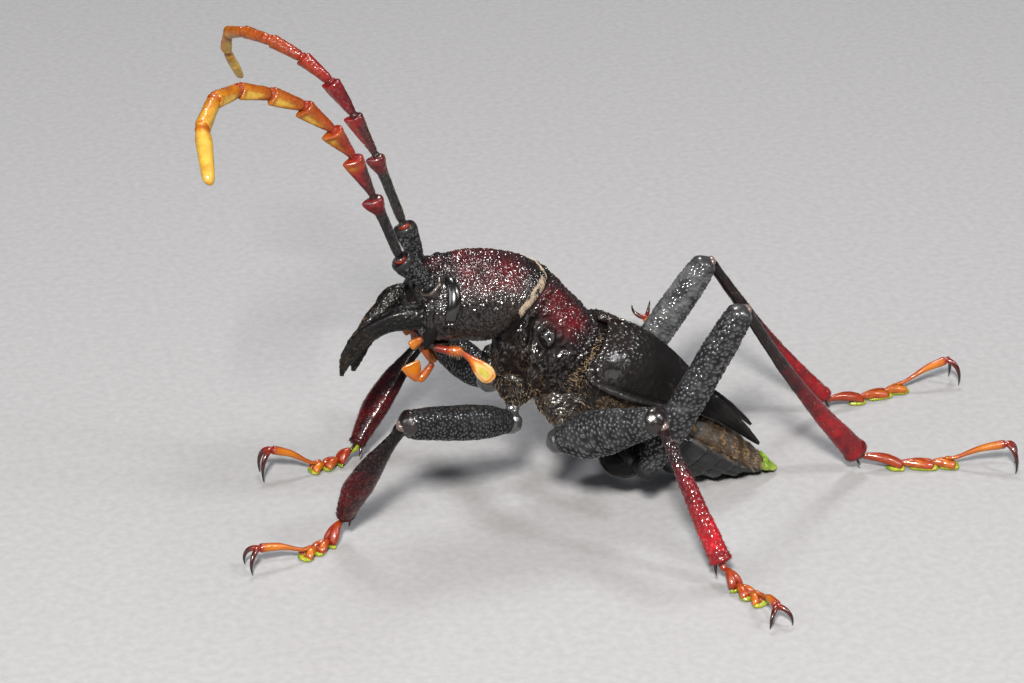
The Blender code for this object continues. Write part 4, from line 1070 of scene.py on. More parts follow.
def scape(name, seed):
    """The first joint: a grained club from its socket that swells to a polished cup."""
    place = SOCKET[name][0]
    end = np.array(FEELER[name][0])
    along = unit(end - place)
    reach = np.linalg.norm(end - place)
    stops = np.array([-0.14, 0.0, 0.12, 0.3, 0.55, 0.8, 0.93, 1.0, 1.03, 1.0, 0.92, 0.88]) * reach
    radii = np.array([0.3, 0.6, 0.58, 0.72, 0.86, 1.02, 1.05, 0.98, 0.86, 0.74, 0.55, 0.1])
    grid, table = turned(place, along, level_across(along), stops, radii, 120, 100)
    share = table[:, :1] / reach
    inside = np.arange(120)[:, None] > np.argmax(table[:, 0])
    spots = beads(grid, 0.26, seed) * fade(0.84, 0.93, share)
    grid = raised(grid, np.where(inside, 0.0, 0.06 * spots + 0.02 * cloud(grid, 0.5, seed + 1)))
    cup = ease(0.86, 0.95, share)
    return tube(grid, tone=0.25 * (1.0 - cup), grain=held(spots + cup * 0.16),
                dust=0.05 * (1.0 - cup))


def feeler(name):
    """The joints of one feeler after the first, each with its tooth on the inside of the curl."""
    places = np.array(FEELER[name])
    made = []
    for k in range(9):
        before, a, b, after = (places[number] for number in (max(k - 1, 0), k, k + 1, min(k + 2, 9)))
        inward = unit(0.5 * (before + after) - 0.5 * (a + b) + np.array([-0.12, -0.05, -0.12]))
        narrow, wide, tone, dark, polished, barb = (
            table[name][k] for table in (JOINT_NARROW, JOINT_WIDE, JOINT_TONE, JOINT_DARK, JOINT_POLISH, JOINT_TOOTH))
        plump = k > 3 or (name == "right" and k > 1)
        made.append(feeler_joint(a, b, narrow, wide, inward, tone, dark, polished, 61 + 2 * k, k == 8, k == 0, plump,
                                 barb))
    first = unit(places[1] - places[0])
    grid, run, _ = rod([places[0] - 0.5 * first, places[0] + 0.05 * first, places[0] + 0.45 * first],
                          (0.42, 0.50, 0.42), (0.42, 0.50, 0.42), ACROSS, 40, 40)
    made.append(tube(grid, tone=0.24 + 0.46 * bell(run / run[-1], 0.62, 0.12), grain=0.2))
    return made


# The palps

PALP_LONG = ((-15.2, -2.5, 17.3), (-14.2, -3.0, 17.15), (-13.0, -3.3, 17.0), (-12.1, -3.5, 16.3), (-11.2, -3.8, 15.3),
             (-10.3, -4.0, 14.2))
PALP_BENT = ((-16.2, 1.0, 17.6), (-16.0, 0.9, 16.4), (-14.7, 0.8, 14.8), (-14.6, 0.7, 14.2), (-15.3, 0.6, 13.3),
             (-16.0, 0.5, 12.7))


def palp_joint(points, thick, broad, tone, seed, edge=0.0):
    """One palp joint, round or flat: smooth, knobbed at its end, with a pale rim where it is flat."""
    grid, run, turn = rod(points, thick, broad, ACROSS, 60, 50, 2.0, (0.6, 0.8))
    share = run / run[-1]
    flat = np.abs(np.cos(2.0 * np.pi * turn))
    grid = raised(grid, 0.02 * cloud(grid, 0.4, seed) - edge * 0.05 * bell(flat, 0.0, 0.5) * ease(0.45, 0.7, share))
    keep(f"palp_{seed}", grid)
    start, end = tone
    centre = bell(np.hypot((share - 0.70) / 0.50, flat), 0.0, 0.66)
    rim = ease(0.62, 0.85, flat) * ease(0.5, 0.62, share) + ease(0.9, 0.97, share)
    colour = start + (end - start) * share
    yellow = held(1.3 * centre) * fade(0.84, 0.93, share) * (0.19 - colour)
    colour = colour + edge * (yellow + held(rim) * 0.8 * (0.28 - colour))
    return tube(grid, tone=held(colour))


def palps():
    """Both long palps, each in three joints ending in a flat blade, and two short palps behind the jaws."""
    p = np.array(PALP_LONG)
    near = [
        palp_joint([p[0], 0.5 * (p[0] + p[1]), p[1] + 0.2 * (p[2] - p[1])], (0.24, 0.32, 0.34), (0.26, 0.32, 0.36),
                   (0.94, 0.70), 71),
        palp_joint([p[1], p[2], p[2] + 0.1 * (p[3] - p[2])], (0.30, 0.42, 0.40), (0.32, 0.46, 0.42), (0.62, 0.50), 72),
        palp_joint([p[2], p[3], p[4], p[5]], (0.24, 0.24, 0.26, 0.32, 0.32, 0.28, 0.18),
                   (0.24, 0.25, 0.32, 0.50, 0.68, 0.79, 0.74, 0.42), (0.62, 0.44), 73, 1.0),
    ]
    q = np.array(PALP_BENT)
    far = [
        palp_joint([q[0], q[1]], (0.36, 0.38), (0.40, 0.46), (0.7, 0.5), 74),
        palp_joint([q[1], 0.5 * (q[1] + q[2]), q[2], q[3]], (0.26, 0.30, 0.42, 0.40), (0.28, 0.34, 0.5, 0.42),
                   (0.60, 0.50), 75),
        palp_joint([q[3], q[4], q[5]], (0.24, 0.32, 0.34), (0.28, 0.36, 0.42), (0.6, 0.48), 76),
        palp_joint([(-15.95, 0.5, 12.75), (-16.35, 0.45, 13.6), (-16.75, 0.4, 14.55)], (0.24, 0.26, 0.16),
                   (0.3, 0.72, 0.92), (0.55, 0.48), 77, 0.25),
    ]
    short = []
    for side in SIDES.values():
        lip = [(-15.9, side * 1.2, 17.7), (-16.5, side * 1.4, 17.4), (-17.1, side * 1.5, 17.1)]
        short.append(palp_joint(lip, (0.3, 0.26, 0.3), (0.3, 0.42, 0.50), (0.60, 0.46), 78, 0.2))
    return near, far, short


# The leaning body behind the collar

THORAX = (
    (6.2, 3.75, -0.70, -4.3, -8.7),
    (6.6, 3.85, -0.55, -4.4, -8.9),
    (8.0, 3.90, -0.25, -4.8, -9.3),
    (10.0, 3.95, 0.20, -5.0, -9.3),
    (12.0, 3.95, 0.45, -4.8, -8.9),
    (14.0, 3.85, 0.50, -4.3, -8.5),
    (16.0, 3.65, 0.35, -3.8, -8.3),
    (17.8, 3.45, 0.15, -3.4, -7.9),
)
ABDOMEN = (
    (17.7, 3.46, 0.10, -3.35, -7.85),
    (19.5, 3.70, 0.05, -2.8, -7.3),
    (21.5, 3.75, 0.0, -2.3, -6.7),
    (23.5, 3.40, -0.05, -2.0, -5.8),
    (25.3, 2.90, -0.10, -1.7, -4.5),
    (27.0, 2.20, -0.10, -1.3, -3.0),
    (28.5, 1.60, 0.0, -0.9, -1.8),
)
TIP = (
    (28.2, 1.52, 0.10, -0.85, -1.60),
    (28.6, 1.50, 0.10, -0.80, -1.50),
    (29.4, 1.30, 0.20, -0.50, -1.00),
    (30.1, 0.90, 0.15, -0.25, -0.60),
    (30.5, 0.35, 0.05, -0.15, -0.35),
)
SCUTELLUM = (
    (6.20, 0.60, 0.35, 0.0, -0.4),
    (6.90, 0.65, 0.70, 0.20, -0.10),
    (7.60, 0.50, 0.95, 0.50, 0.20),
    (8.30, 0.14, 1.05, 0.75, 0.50),
)
SEAMS = (
    ((9.6, 0.0), (11.4, -9.4)),
    ((7.0, -2.6), (9.6, -8.8)),
    ((10.4, -4.2), (17.6, -3.0)),
    ((13.4, -3.8), (16.4, -8.6)),
)
STERNITES = (17.4, 19.7, 21.7, 23.5, 25.2, 26.7, 28.6)


def thorax_skin():
    """The trunk under the wing cases: an oval run cut by the grooves between its side plates, each plate swollen
    at its middle, coarse grains on the first and a fine velvet on the rest."""
    columns = 300
    table = curve(THORAX, 120)
    grid = closed_ends(body_rows(table, columns, 2.1))
    offset = grid - SLOPE_FOOT
    station = offset @ BACKWARD
    rise = offset @ UPWARD
    apart = np.full(station.shape, 9.0)
    for a, b in SEAMS:
        apart = np.minimum(apart, to_line(station, rise, a, b))
    groove = bell(apart, 0.0, 0.16)
    swell = ease(0.1, 1.3, apart)
    coarse = beads(grid, 0.30, 81)
    small = beads(grid, 0.18, 82)
    first = fade(10.2, 11.2, station - 0.2 * (rise + 4.0))
    height = 0.22 * swell - 0.22 * groove + 0.07 * first * coarse + 0.035 * (1.0 - first) * small
    height = height + 0.08 * cloud(grid, 1.6, 83) + 0.03 * cloud(grid, 0.4, 84, 2)
    keep("thorax", raised(grid, height), edge=bell(apart, 0.35, 0.35))
    tone = 0.15 + 0.35 * groove + 0.3 * (1.0 - first) * ease(-6.0, -8.0, rise)
    dust = np.clip(0.10 + 0.35 * (1.0 - first) * bell(apart, 0.3, 0.5) - 0.3 * coarse * first, 0.0, 0.9)
    return tube(SKIN["thorax"]["grid"], tone=tone, grain=held(first * coarse + 0.3 * small), dust=dust)


def hip(pair, side):
    """A coxa: a swollen cone from the trunk to the thigh, with a polished ring where the thigh turns."""
    root, end, thick, thin = COXA[pair]
    flip = np.array([1.0, side, 1.0])
    a = np.array(root) * flip
    b = np.array(end) * flip
    ahead = unit(b - a)
    points = [a - 0.8 * ahead, 0.6 * a + 0.4 * b, b - 0.25 * ahead, b + 0.15 * ahead]
    wide = {"front": 1.25, "middle": 1.45, "hind": 1.35}[pair]
    radii = np.array([thick, 0.5 * (thick + thin) + 0.35, thin + 0.12, thin - 0.25])
    grid, run, _ = rod(points, radii, radii * np.array([wide, wide, 1.0 + 0.5 * (wide - 1.0), 1.0]),
                          np.cross(ahead, (1.0, 0.0, 0.0)), 70, 92)
    share = run / run[-1]
    ring = ease(0.84, 0.90, share)
    plate = 1.0 if pair == "hind" else 0.0
    grains = beads(grid, 0.22, 85) * (1.0 - ring) * (1.0 - 0.7 * plate)
    height = 0.06 * grains + 0.18 * (1.0 - ring) * cloud(grid, 1.1, 86) - 0.10 * bell(share, 0.85, 0.03)
    height = height * (1.0 - 0.6 * plate) + plate * (0.16 * bell(share, 0.52, 0.03) - 0.10 * bell(share, 0.62, 0.05))
    grid = raised(grid, height)
    keep(f"coxa_{pair}_{side:.0f}", grid)
    brown = {"front": 0.2, "middle": 0.5, "hind": 0.0}[pair]
    return tube(grid, tone=brown + 0.4 * cloud(grid, 0.8, 87), grain=held(grains + 0.6 * ring),
                dust=np.clip(0.1 + (0.3 + brown) * cloud(grid, 0.9, 88), 0.0, 0.8) * (1.0 - ring))


HIP_PLATE = ((0.1, 3.6, 6.3), (0.3, 4.0, 5.6), (0.8, 4.4, 5.0), (1.6, 4.6, 4.7), (2.5, 4.8, 4.8))


def hip_plate(side):
    """The smooth dished shell that stands round the root of a hind thigh, with a rolled rim."""
    points = [np.array(place) * np.array([1.0, side, 1.0]) for place in HIP_PLATE]
    grid, _, turn = rod(points, (0.30, 0.40, 0.44, 0.44, 0.36), (0.60, 0.95, 1.10, 1.05, 0.90), ACROSS, 50, 64, 2.2)
    rim = ease(0.78, 0.95, np.abs(np.cos(2.0 * np.pi * turn)))
    grid = raised(grid, 0.12 * rim - 0.10 * bell(rim, 0.0, 0.2) + 0.05 * cloud(grid, 0.9, 98))
    return tube(grid, tone=0.05, grain=held(0.12 + 0.45 * rim))


def abdomen_skin():
    """The hind body: each belly plate swells backwards and ends in a step over the next, its sides are pinched in
    a fold, and its upper side is soft and ringed."""
    columns = 220
    table = curve(ABDOMEN, 144)
    grid = closed_ends(body_rows(table, columns, 2.1))
    station = (grid - SLOPE_FOOT) @ BACKWARD
    degrees = from_top(columns)
    edges = np.array(STERNITES)
    lean = station + 0.35 * np.cos(np.radians(degrees))
    plate = np.clip(np.searchsorted(edges, lean) - 1, 0, len(edges) - 2)
    share = held((lean - edges[plate]) / (edges[plate + 1] - edges[plate]))
    below = ease(82.0, 92.0, degrees)
    height = below * (0.42 * share ** 1.5 * fade(0.95, 1.0, share) - 0.08)
    height = height + (1.0 - below) * 0.14 * np.sin(np.pi * share) - 0.22 * bell(degrees, 84.0, 4.0)
    height = height + 0.16 * bell(degrees, 91.0, 4.0) - 0.12 * bell(degrees, 118.0, 5.0) * below
    small = beads(grid, 0.2, 91)
    height = height + 0.025 * small + 0.04 * cloud(grid, 0.9, 92)
    height = height * (1.0 - 0.6 * ease(27.0, 28.3, station))
    grid = raised(grid, height)
    keep("abdomen", grid, below=below)
    tone = below * (0.26 + 0.20 * ease(0.86, 0.94, share) - 0.24 * bell(share, 0.03, 0.05))
    tone = tone + (1.0 - below) * (0.56 + 0.22 * cloud(grid, 0.7, 96))
    fleck = (1.0 - below) * ease(0.58, 0.72, cloud(grid * np.array([0.6, 1.0, 1.0]), 0.5, 97, 2))
    return tube(grid, tone=tone, grain=below * (0.12 + 0.2 * small), dust=held(0.1 * (1.0 - below) + fleck))


def tail_tip():
    """The soft green end of the hind body, wrinkled along its length."""
    table = curve(TIP, 60)
    grid = closed_ends(body_rows(table, 80, 2.0))
    turn = turns(80)
    grid = raised(grid, 0.02 * np.sin(turn * 88.0) + 0.22 * (cloud(grid, 0.8, 93) - 0.4) + 0.05 * cloud(grid, 0.3, 94))
    station = (grid - SLOPE_FOOT) @ BACKWARD
    return tube(grid, tone=held(0.55 + 0.35 * ease(29.0, 30.4, station)))


def shield():
    """The scutellum: a dark grained tongue between the roots of the wing cases."""
    grid = closed_ends(body_rows(curve(SCUTELLUM, 60), 90, 2.4))
    grains = beads(grid, 0.24, 94)
    return tube(raised(grid, 0.06 * grains + 0.03 * cloud(grid, 0.6, 95)), tone=0.2, grain=grains, dust=0.2)


# The legs

# Each hip: its root in the trunk and its end, on the right side, and its radius at both.
COXA = {
    "front": ((-7.7, 2.2, 13.1), (-8.4, 3.5, 11.2), 1.8, 1.15),
    "middle": ((-3.4, 2.4, 10.9), (-4.4, 5.0, 9.5), 1.65, 1.10),
    "hind": ((2.2, 2.2, 6.3), (2.6, 5.5, 5.3), 1.5, 1.00),
}
# Each leg's knee, its ankle, the end of its pads and the root of its claws.
LEGS = {
    "front_left": ((-19.1, -8.5, 13.3), (-23.6, -3.9, 2.4), (-27.8, -6.5, 0.8), (-31.8, -7.2, 2.1)),
    "front_right": ((-12.1, 14.8, 10.6), (-19.9, 10.5, 1.7), (-24.3, 9.3, 0.8), (-28.0, 9.2, 2.9)),
    "middle_left": ((2.2, -13.2, 13.4), (6.4, -18.7, 2.0), (8.7, -23.2, 0.8), (9.0, -26.2, 1.7)),
    "middle_right": ((3.0, 13.2, 10.0), (12.2, 21.2, 1.8), (13.4, 26.2, 0.8), (12.8, 28.6, 2.9)),
    "hind_left": ((11.1, -7.6, 20.5), (24.5, -1.8, 1.8), (33.5, -3.3, 0.8), (37.8, -4.8, 2.7)),
    "hind_right": ((12.4, 7.2, 18.5), (25.5, 10.2, 1.6), (34.3, 12.6, 0.8), (38.7, 13.2, 2.6)),
}
RAISED = "middle_right"
FEMUR_STOPS = (0.0, 0.10, 0.22, 0.42, 0.62, 0.82, 0.95, 1.0)
FEMUR_BROAD = {
    "front": (1.0, 1.2, 1.6, 1.7, 1.6, 1.45, 1.2, 0.75),
    "middle": (1.0, 1.4, 2.0, 2.0, 1.75, 1.45, 1.15, 0.75),
    "hind": (0.95, 1.1, 1.5, 1.55, 1.5, 1.4, 1.15, 0.75),
}
FEMUR_THICK = {
    "front": (1.0, 1.1, 1.3, 1.4, 1.35, 1.25, 1.05, 0.7),
    "middle": (1.05, 1.2, 1.45, 1.45, 1.35, 1.25, 1.05, 0.7),
    "hind": (0.85, 0.9, 1.05, 1.15, 1.2, 1.15, 1.05, 0.7),
}
SHIN_STOPS = (0.0, 0.15, 0.35, 0.6, 0.82, 1.0)
TIBIA_BROAD = {
    "front": (0.55, 0.75, 1.25, 1.5, 1.15, 0.75),
    "middle": (0.45, 0.52, 0.68, 0.82, 0.95, 1.0),
    "hind": (0.5, 0.52, 0.58, 0.72, 0.95, 1.15),
    "hind_right": (0.5, 0.52, 0.55, 0.6, 0.66, 0.72),
}
TIBIA_THICK = {
    "front": (0.5, 0.6, 0.85, 1.0, 0.85, 0.65),
    "middle": (0.45, 0.55, 0.65, 0.75, 0.8, 0.8),
    "hind": (0.45, 0.48, 0.52, 0.58, 0.68, 0.78),
    "hind_right": (0.45, 0.48, 0.5, 0.53, 0.58, 0.62),
}
SHIN_BOW = {"front": -0.70, "middle": 0.0, "hind": 0.45}
SHIN_TONE = {
    "front": (0.0, 0.06, 0.26, 0.44, 0.46, 0.34),
    "middle": (0.15, 0.3, 0.55, 0.8, 0.95, 0.85),
    "hind": (0.04, 0.12, 0.35, 0.65, 0.8, 0.75),
}
# Grains of thighs and shins: how many to a turn, the pitch of their rows, their reach and their height.
THIGH_GRAINS = {"front": (28, 0.33, 0.33, 0.045), "middle": (25, 0.38, 0.38, 0.085), "hind": (22, 0.37, 0.40, 0.10)}
SHIN_GRAINS = {"front": (26, 0.34, 0.20, 0.035), "middle": (14, 0.42, 0.34, 0.06), "hind": (17, 0.30, 0.28, 0.035)}
HIP_GAP = {"front": 0.30, "middle": 0.46, "hind": 0.46}
KNUCKLE = 1.0
KNUCKLE_SIZE = 1.16
KNEE = 1.25
KNEE_END = 0.35


class Leg:
    """The places and directions of one leg, as the solids have them."""

    def __init__(self, name):
        self.name = name
        self.pair, side_name = name.split("_")
        flip = np.array([1.0, SIDES[side_name], 1.0])
        root, end = (np.array(place) * flip for place in COXA[self.pair][:2])
        self.knee, self.ankle, self.pads, self.claws = (np.array(place) for place in LEGS[name])
        self.ahead = unit(end - root)
        self.hip = end
        self.start = end + HIP_GAP[self.pair] * self.ahead
        self.bend = self.start + KNUCKLE * self.ahead
        self.along = unit(self.knee - end)
        self.down = unit(self.ankle - self.knee)
        self.hinge = unit(np.cross(self.along, self.ankle - self.knee))
        cosine = np.dot(self.along, self.down)
        sine = np.sqrt(1.0 - cosine ** 2)
        narrow = TIBIA_BROAD[self.pair][0]
        past_side = (KNEE + 0.3 + abs(cosine) * narrow) / sine
        past_end = (KNEE_END + 0.3 + sine * narrow) / max(cosine, 0.01)
        self.shin = self.knee + self.down * min(past_side, past_end)


def thigh(leg, seed):
    """A thigh: an oval run that swells from the hip, set with polished studs in staggered rows, grooved on its
    inner side near the knee, where two smooth lobes hold the shin."""
    rows, columns = 170, 106
    end = leg.knee + KNEE_END * leg.along
    table = [np.concatenate([leg.bend + (end - leg.bend) * s, [a, b]])
             for s, a, b in zip(FEMUR_STOPS, FEMUR_THICK[leg.pair], FEMUR_BROAD[leg.pair])]
    table = curve(table, rows)
    path = table[:, :3]
    run = arc(path)
    round_off = domed(run, 0.9, 0.5, 1.25)
    grid, run = limb(path, table[:, 3] * round_off, table[:, 4] * round_off, leg.hinge, columns, 2.1)
    run = run[:, None]
    share = run / run[-1]
    turn = turns(columns)
    inner = mirrored(turn)
    ends = ease(0.02, 0.08, share) * fade(0.93, 0.965, share)
    amount = ends * (1.0 - 0.6 * bell(inner, 0.0, 0.07) * ease(0.4, 0.8, share))
    per_turn, pitch, reach, relief = THIGH_GRAINS[leg.pair]
    rough_skin = studs(turn, run + 0.12 * np.sin(turn * 12.566), per_turn, pitch, seed, 0.75, reach)
    height = relief * amount * rough_skin + 0.05 * cloud(grid, 1.3, seed + 1) + 0.012 * cloud(grid, 0.3, seed + 2, 2)
    height = height - 0.30 * bell(inner, 0.0, 0.055) * ease(0.45, 0.9, share)
    height = height + 0.10 * bell(share, 0.962, 0.02) * (1.0 - bell(inner, 0.0, 0.10))
    height = height - 0.05 * bell(share, 0.935, 0.010)
    height = height * domed(run[:, 0], 0.6)[:, None]
    grid = raised(grid, height)
    keep("femur_" + leg.name, grid)
    lobes = ease(0.945, 0.97, share)
    tone = (0.34 if leg.pair == "front" else 0.46) + 0.25 * cloud(grid, 0.9, seed + 3) - 0.4 * lobes
    # Painted sheen: the right hind thigh alone is coloured lighter and greyish white, a reflection of light painted
    # into its tone.
    painted_sheen = 0.35 if leg.name == "hind_right" else 0.0
    return tube(grid, tone=held(tone + painted_sheen), grain=held(amount * rough_skin ** 1.5 + 0.6 * lobes),
                dust=0.1 * (1.0 - rough_skin) * (1.0 - lobes))


def knuckle(leg, seed):
    """The small joint between hip and thigh: a polished ball with a neck into the hip."""
    swell = {"front": 0.95, "middle": 1.0, "hind": 0.80}[leg.pair]
    size = KNUCKLE_SIZE * swell
    bend = leg.bend + (0.5 * leg.along if leg.pair == "hind" else 0.0)
    points = [leg.hip - 0.5 * leg.ahead, leg.start, bend - 0.8 * size * leg.ahead, bend - 0.4 * size * leg.ahead, bend,
              bend + 0.5 * size * leg.ahead, bend + size * leg.ahead]
    radii = np.array([0.72, 0.66, 0.66, 0.94 * size, size, size, size])
    grid, _, _ = rod(points, radii, radii, leg.hinge, 50, 60, 2.0, (0.7, 1.0))
    grid = raised(grid, 0.03 * cloud(grid, 0.5, seed) + 0.02 * beads(grid, 0.3, seed + 1))
    polish = {"front": 0.8, "middle": 0.6, "hind": 0.05}[leg.pair]
    return tube(grid, tone=0.12 if leg.pair != "hind" else 0.42, grain=polish)


def shin(leg, seed):
    """A shin: a narrow bent head in the knee, then a run that widens to the foot, with polished grains in rows, an
    outer keel with low teeth, and a rimmed end with two spurs."""
    rows, columns = 150, 84
    bow = np.cross(leg.hinge, unit(leg.ankle - leg.shin)) * SHIN_BOW[leg.pair]
    thick = TIBIA_THICK.get(leg.name, TIBIA_THICK[leg.pair])
    broad = TIBIA_BROAD.get(leg.name, TIBIA_BROAD[leg.pair])
    table = [np.concatenate([leg.knee + 0.15 * leg.down, [thick[0] * 0.9, broad[0] * 0.9]]),
             np.concatenate([0.55 * leg.knee + 0.45 * leg.shin, [thick[0] * 1.15, broad[0] * 1.15]])]
    for s, a, b in zip(SHIN_STOPS, thick, broad):
        place = leg.shin + (leg.ankle - leg.shin) * s + bow * np.sin(np.pi * s)
        table.append(np.concatenate([place, [a, b]]))
    table = curve(table, rows)
    path = table[:, :3]
    run = arc(path)
    round_off = domed(run, 0.5, 0.8, 0.35)
    grid, run = limb(path, table[:, 3] * round_off, table[:, 4] * round_off, leg.hinge, columns, 2.15)
    run = run[:, None]
    share = run / run[-1]
    turn = turns(columns)
    outer = np.abs(turn - 0.5)
    middle = ease(0.08, 0.16, share) * fade(0.94, 0.98, share)
    per_turn, pitch, reach, relief = SHIN_GRAINS[leg.pair]
    grains = studs(turn, run, per_turn, pitch, seed, 0.9, reach) * middle
    grains = grains * (bell(outer, 0.0, 0.15) if leg.pair == "hind" else 1.0)
    ribs = 1.0 if leg.pair == "front" else 0.15
    teeth = bell(outer, 0.0, 0.03) * held(np.sin(run * 7.5)) * middle
    height = relief * grains + ribs * (0.08 * bell(outer, 0.0, 0.035) * middle + 0.09 * teeth)
    height = height + 0.035 * cloud(grid, 0.9, seed + 1) - 0.07 * ribs * bell(mirrored(turn), 0.0, 0.05) * middle
    height = height - 0.06 * ribs * bell(np.abs(turn - 0.5), 0.14, 0.03) * middle + 0.10 * bell(share, 0.975, 0.012)
    height = height * domed(run[:, 0], 0.5)[:, None]
    grid = raised(grid, height)
    keep("tibia_" + leg.name, grid)
    tone = spread(SHIN_TONE[leg.pair], rows)[:, None] + 0.12 * cloud(grid, 1.0, seed + 2)
    made = [tube(grid, tone=held(tone), grain=held(0.8 * grains + (0.0 if leg.pair == "front" else 0.12)))]
    inner = np.cross(leg.hinge, leg.down)
    inner = inner * np.sign(np.dot(inner, leg.ankle - leg.pads) + 1e-9)
    spread_out = table[-1, 3]
    for flip in (-1.0, 1.0):
        root = leg.ankle - 0.15 * leg.down + leg.hinge * (flip * spread_out * 0.6) + inner * 0.25
        tip = root + leg.down * 0.95 + leg.hinge * (flip * 0.25) + inner * 0.22
        tip[2] = max(tip[2], 0.25)
        spur, _, _ = rod([root, 0.5 * (root + tip) + inner * 0.05, tip], (0.16, 0.12, 0.03), (0.16, 0.12, 0.03),
                         ACROSS, 16, 12)
        made.append(tube(spur, tone=0.3, grain=0.3))
    return made


def knee_cheeks(leg, seed):
    """The polished end of a thigh: a ball with a groove on its inner side, where the shin's head turns."""
    size = 1.12 if leg.pair == "middle" else 1.0
    centre = leg.knee - (0.30 if leg.pair == "middle" else 0.50) * leg.along
    radii = np.array([0.95, 1.18, 0.94]) * size
    grid, _, turn = rod([centre - leg.along, centre, centre + 0.92 * leg.along], radii, radii, leg.hinge, 40, 50, 2.0,
                          (0.9, 0.95))
    inner = mirrored(turn)
    return tube(raised(grid, 0.04 * cloud(grid, 0.7, seed) - 0.22 * bell(inner, 0.0, 0.05)), tone=0.30, grain=0.42)


def knee_skin(leg, seed):
    """The soft folded skin in the angle of the knee."""
    a = leg.knee - 0.35 * leg.along
    b = leg.knee + 0.55 * leg.down
    c = leg.knee + leg.down
    grid, run, _ = rod([a, b, c], (0.62, 0.60, 0.40), (0.75, 0.68, 0.42), leg.hinge, 30, 32)
    grid = raised(grid, 0.05 * np.sin(run * 16.0) + 0.03 * cloud(grid, 0.4, seed))
    return tube(grid, tone=0.55)


FOOT_PARTS = {"front": (0.0, 0.36, 0.70, 1.0), "middle": (0.0, 0.36, 0.70, 1.0), "hind": (0.0, 0.44, 0.77, 1.0)}


def foot_joint(points, side, width, number, seed):
    """One pad joint: a shell that widens from its root to two drooping lobes parted by a crease, and under it a
    soft rough sole on the floor."""
    grid, along, turn = rod(points, np.array([0.24, 0.40, 0.66, 0.84, 0.80]) * width, (0.26, 0.36, 0.44, 0.40, 0.30),
                            side, 48, 54, 2.2, (0.8, 0.45))
    share = along / along[-1]
    ahead = unit(np.array(points[-1]) - np.array(points[-2]))
    out = np.abs(np.sin(2.0 * np.pi * turn))
    crease = bell(out, 0.0, 0.30) * ease(0.35, 1.0, share)
    grid = grid - ahead * (0.42 * width * crease * ease(0.6, 1.0, share))[..., None]
    grid = grid - UP * (0.16 * crease + 0.22 * out ** 2 * ease(0.4, 1.0, share))[..., None]
    grid = raised(grid, 0.02 * cloud(grid, 0.5, seed) - 0.05 * bell(out, 0.0, 0.12) * ease(0.1, 0.4, share))
    grid[..., 2] = np.maximum(grid[..., 2], 0.06)
    tone = 0.66 - 0.08 * number + 0.12 * ease(0.86, 0.97, share) + 0.08 * fade(0.0, 0.2, share)
    tone = tone + 0.08 * cloud(grid, 0.5, seed + 7)
    tone = tone + 0.12 * bell(out, 0.0, 0.14) * ease(0.2, 0.5, share)
    shell = tube(grid, tone=np.clip(tone, 0.36, 1.0))
    low = np.array([1.0, 1.0, 0.0])
    a, b = (np.array(points[k]) * low + UP * 0.22 for k in (-3 if number == 0 else -4, -1))
    under = [a, 0.5 * (a + b), b + 0.16 * (b - a)]
    sole, _, _ = rod(under, np.array([0.36, 0.74, 0.80]) * width, (0.22, 0.26, 0.24), side, 32, 40, 2.4, (0.8, 0.6))
    sole = raised(sole, 0.07 * beads(sole, 0.16, seed + 3))
    sole[..., 2] = np.maximum(sole[..., 2], 0.0)
    return [shell, tube(sole, tone=np.clip(0.08 + 0.10 * cloud(sole, 0.3, seed + 5), 0.0, 0.2))]


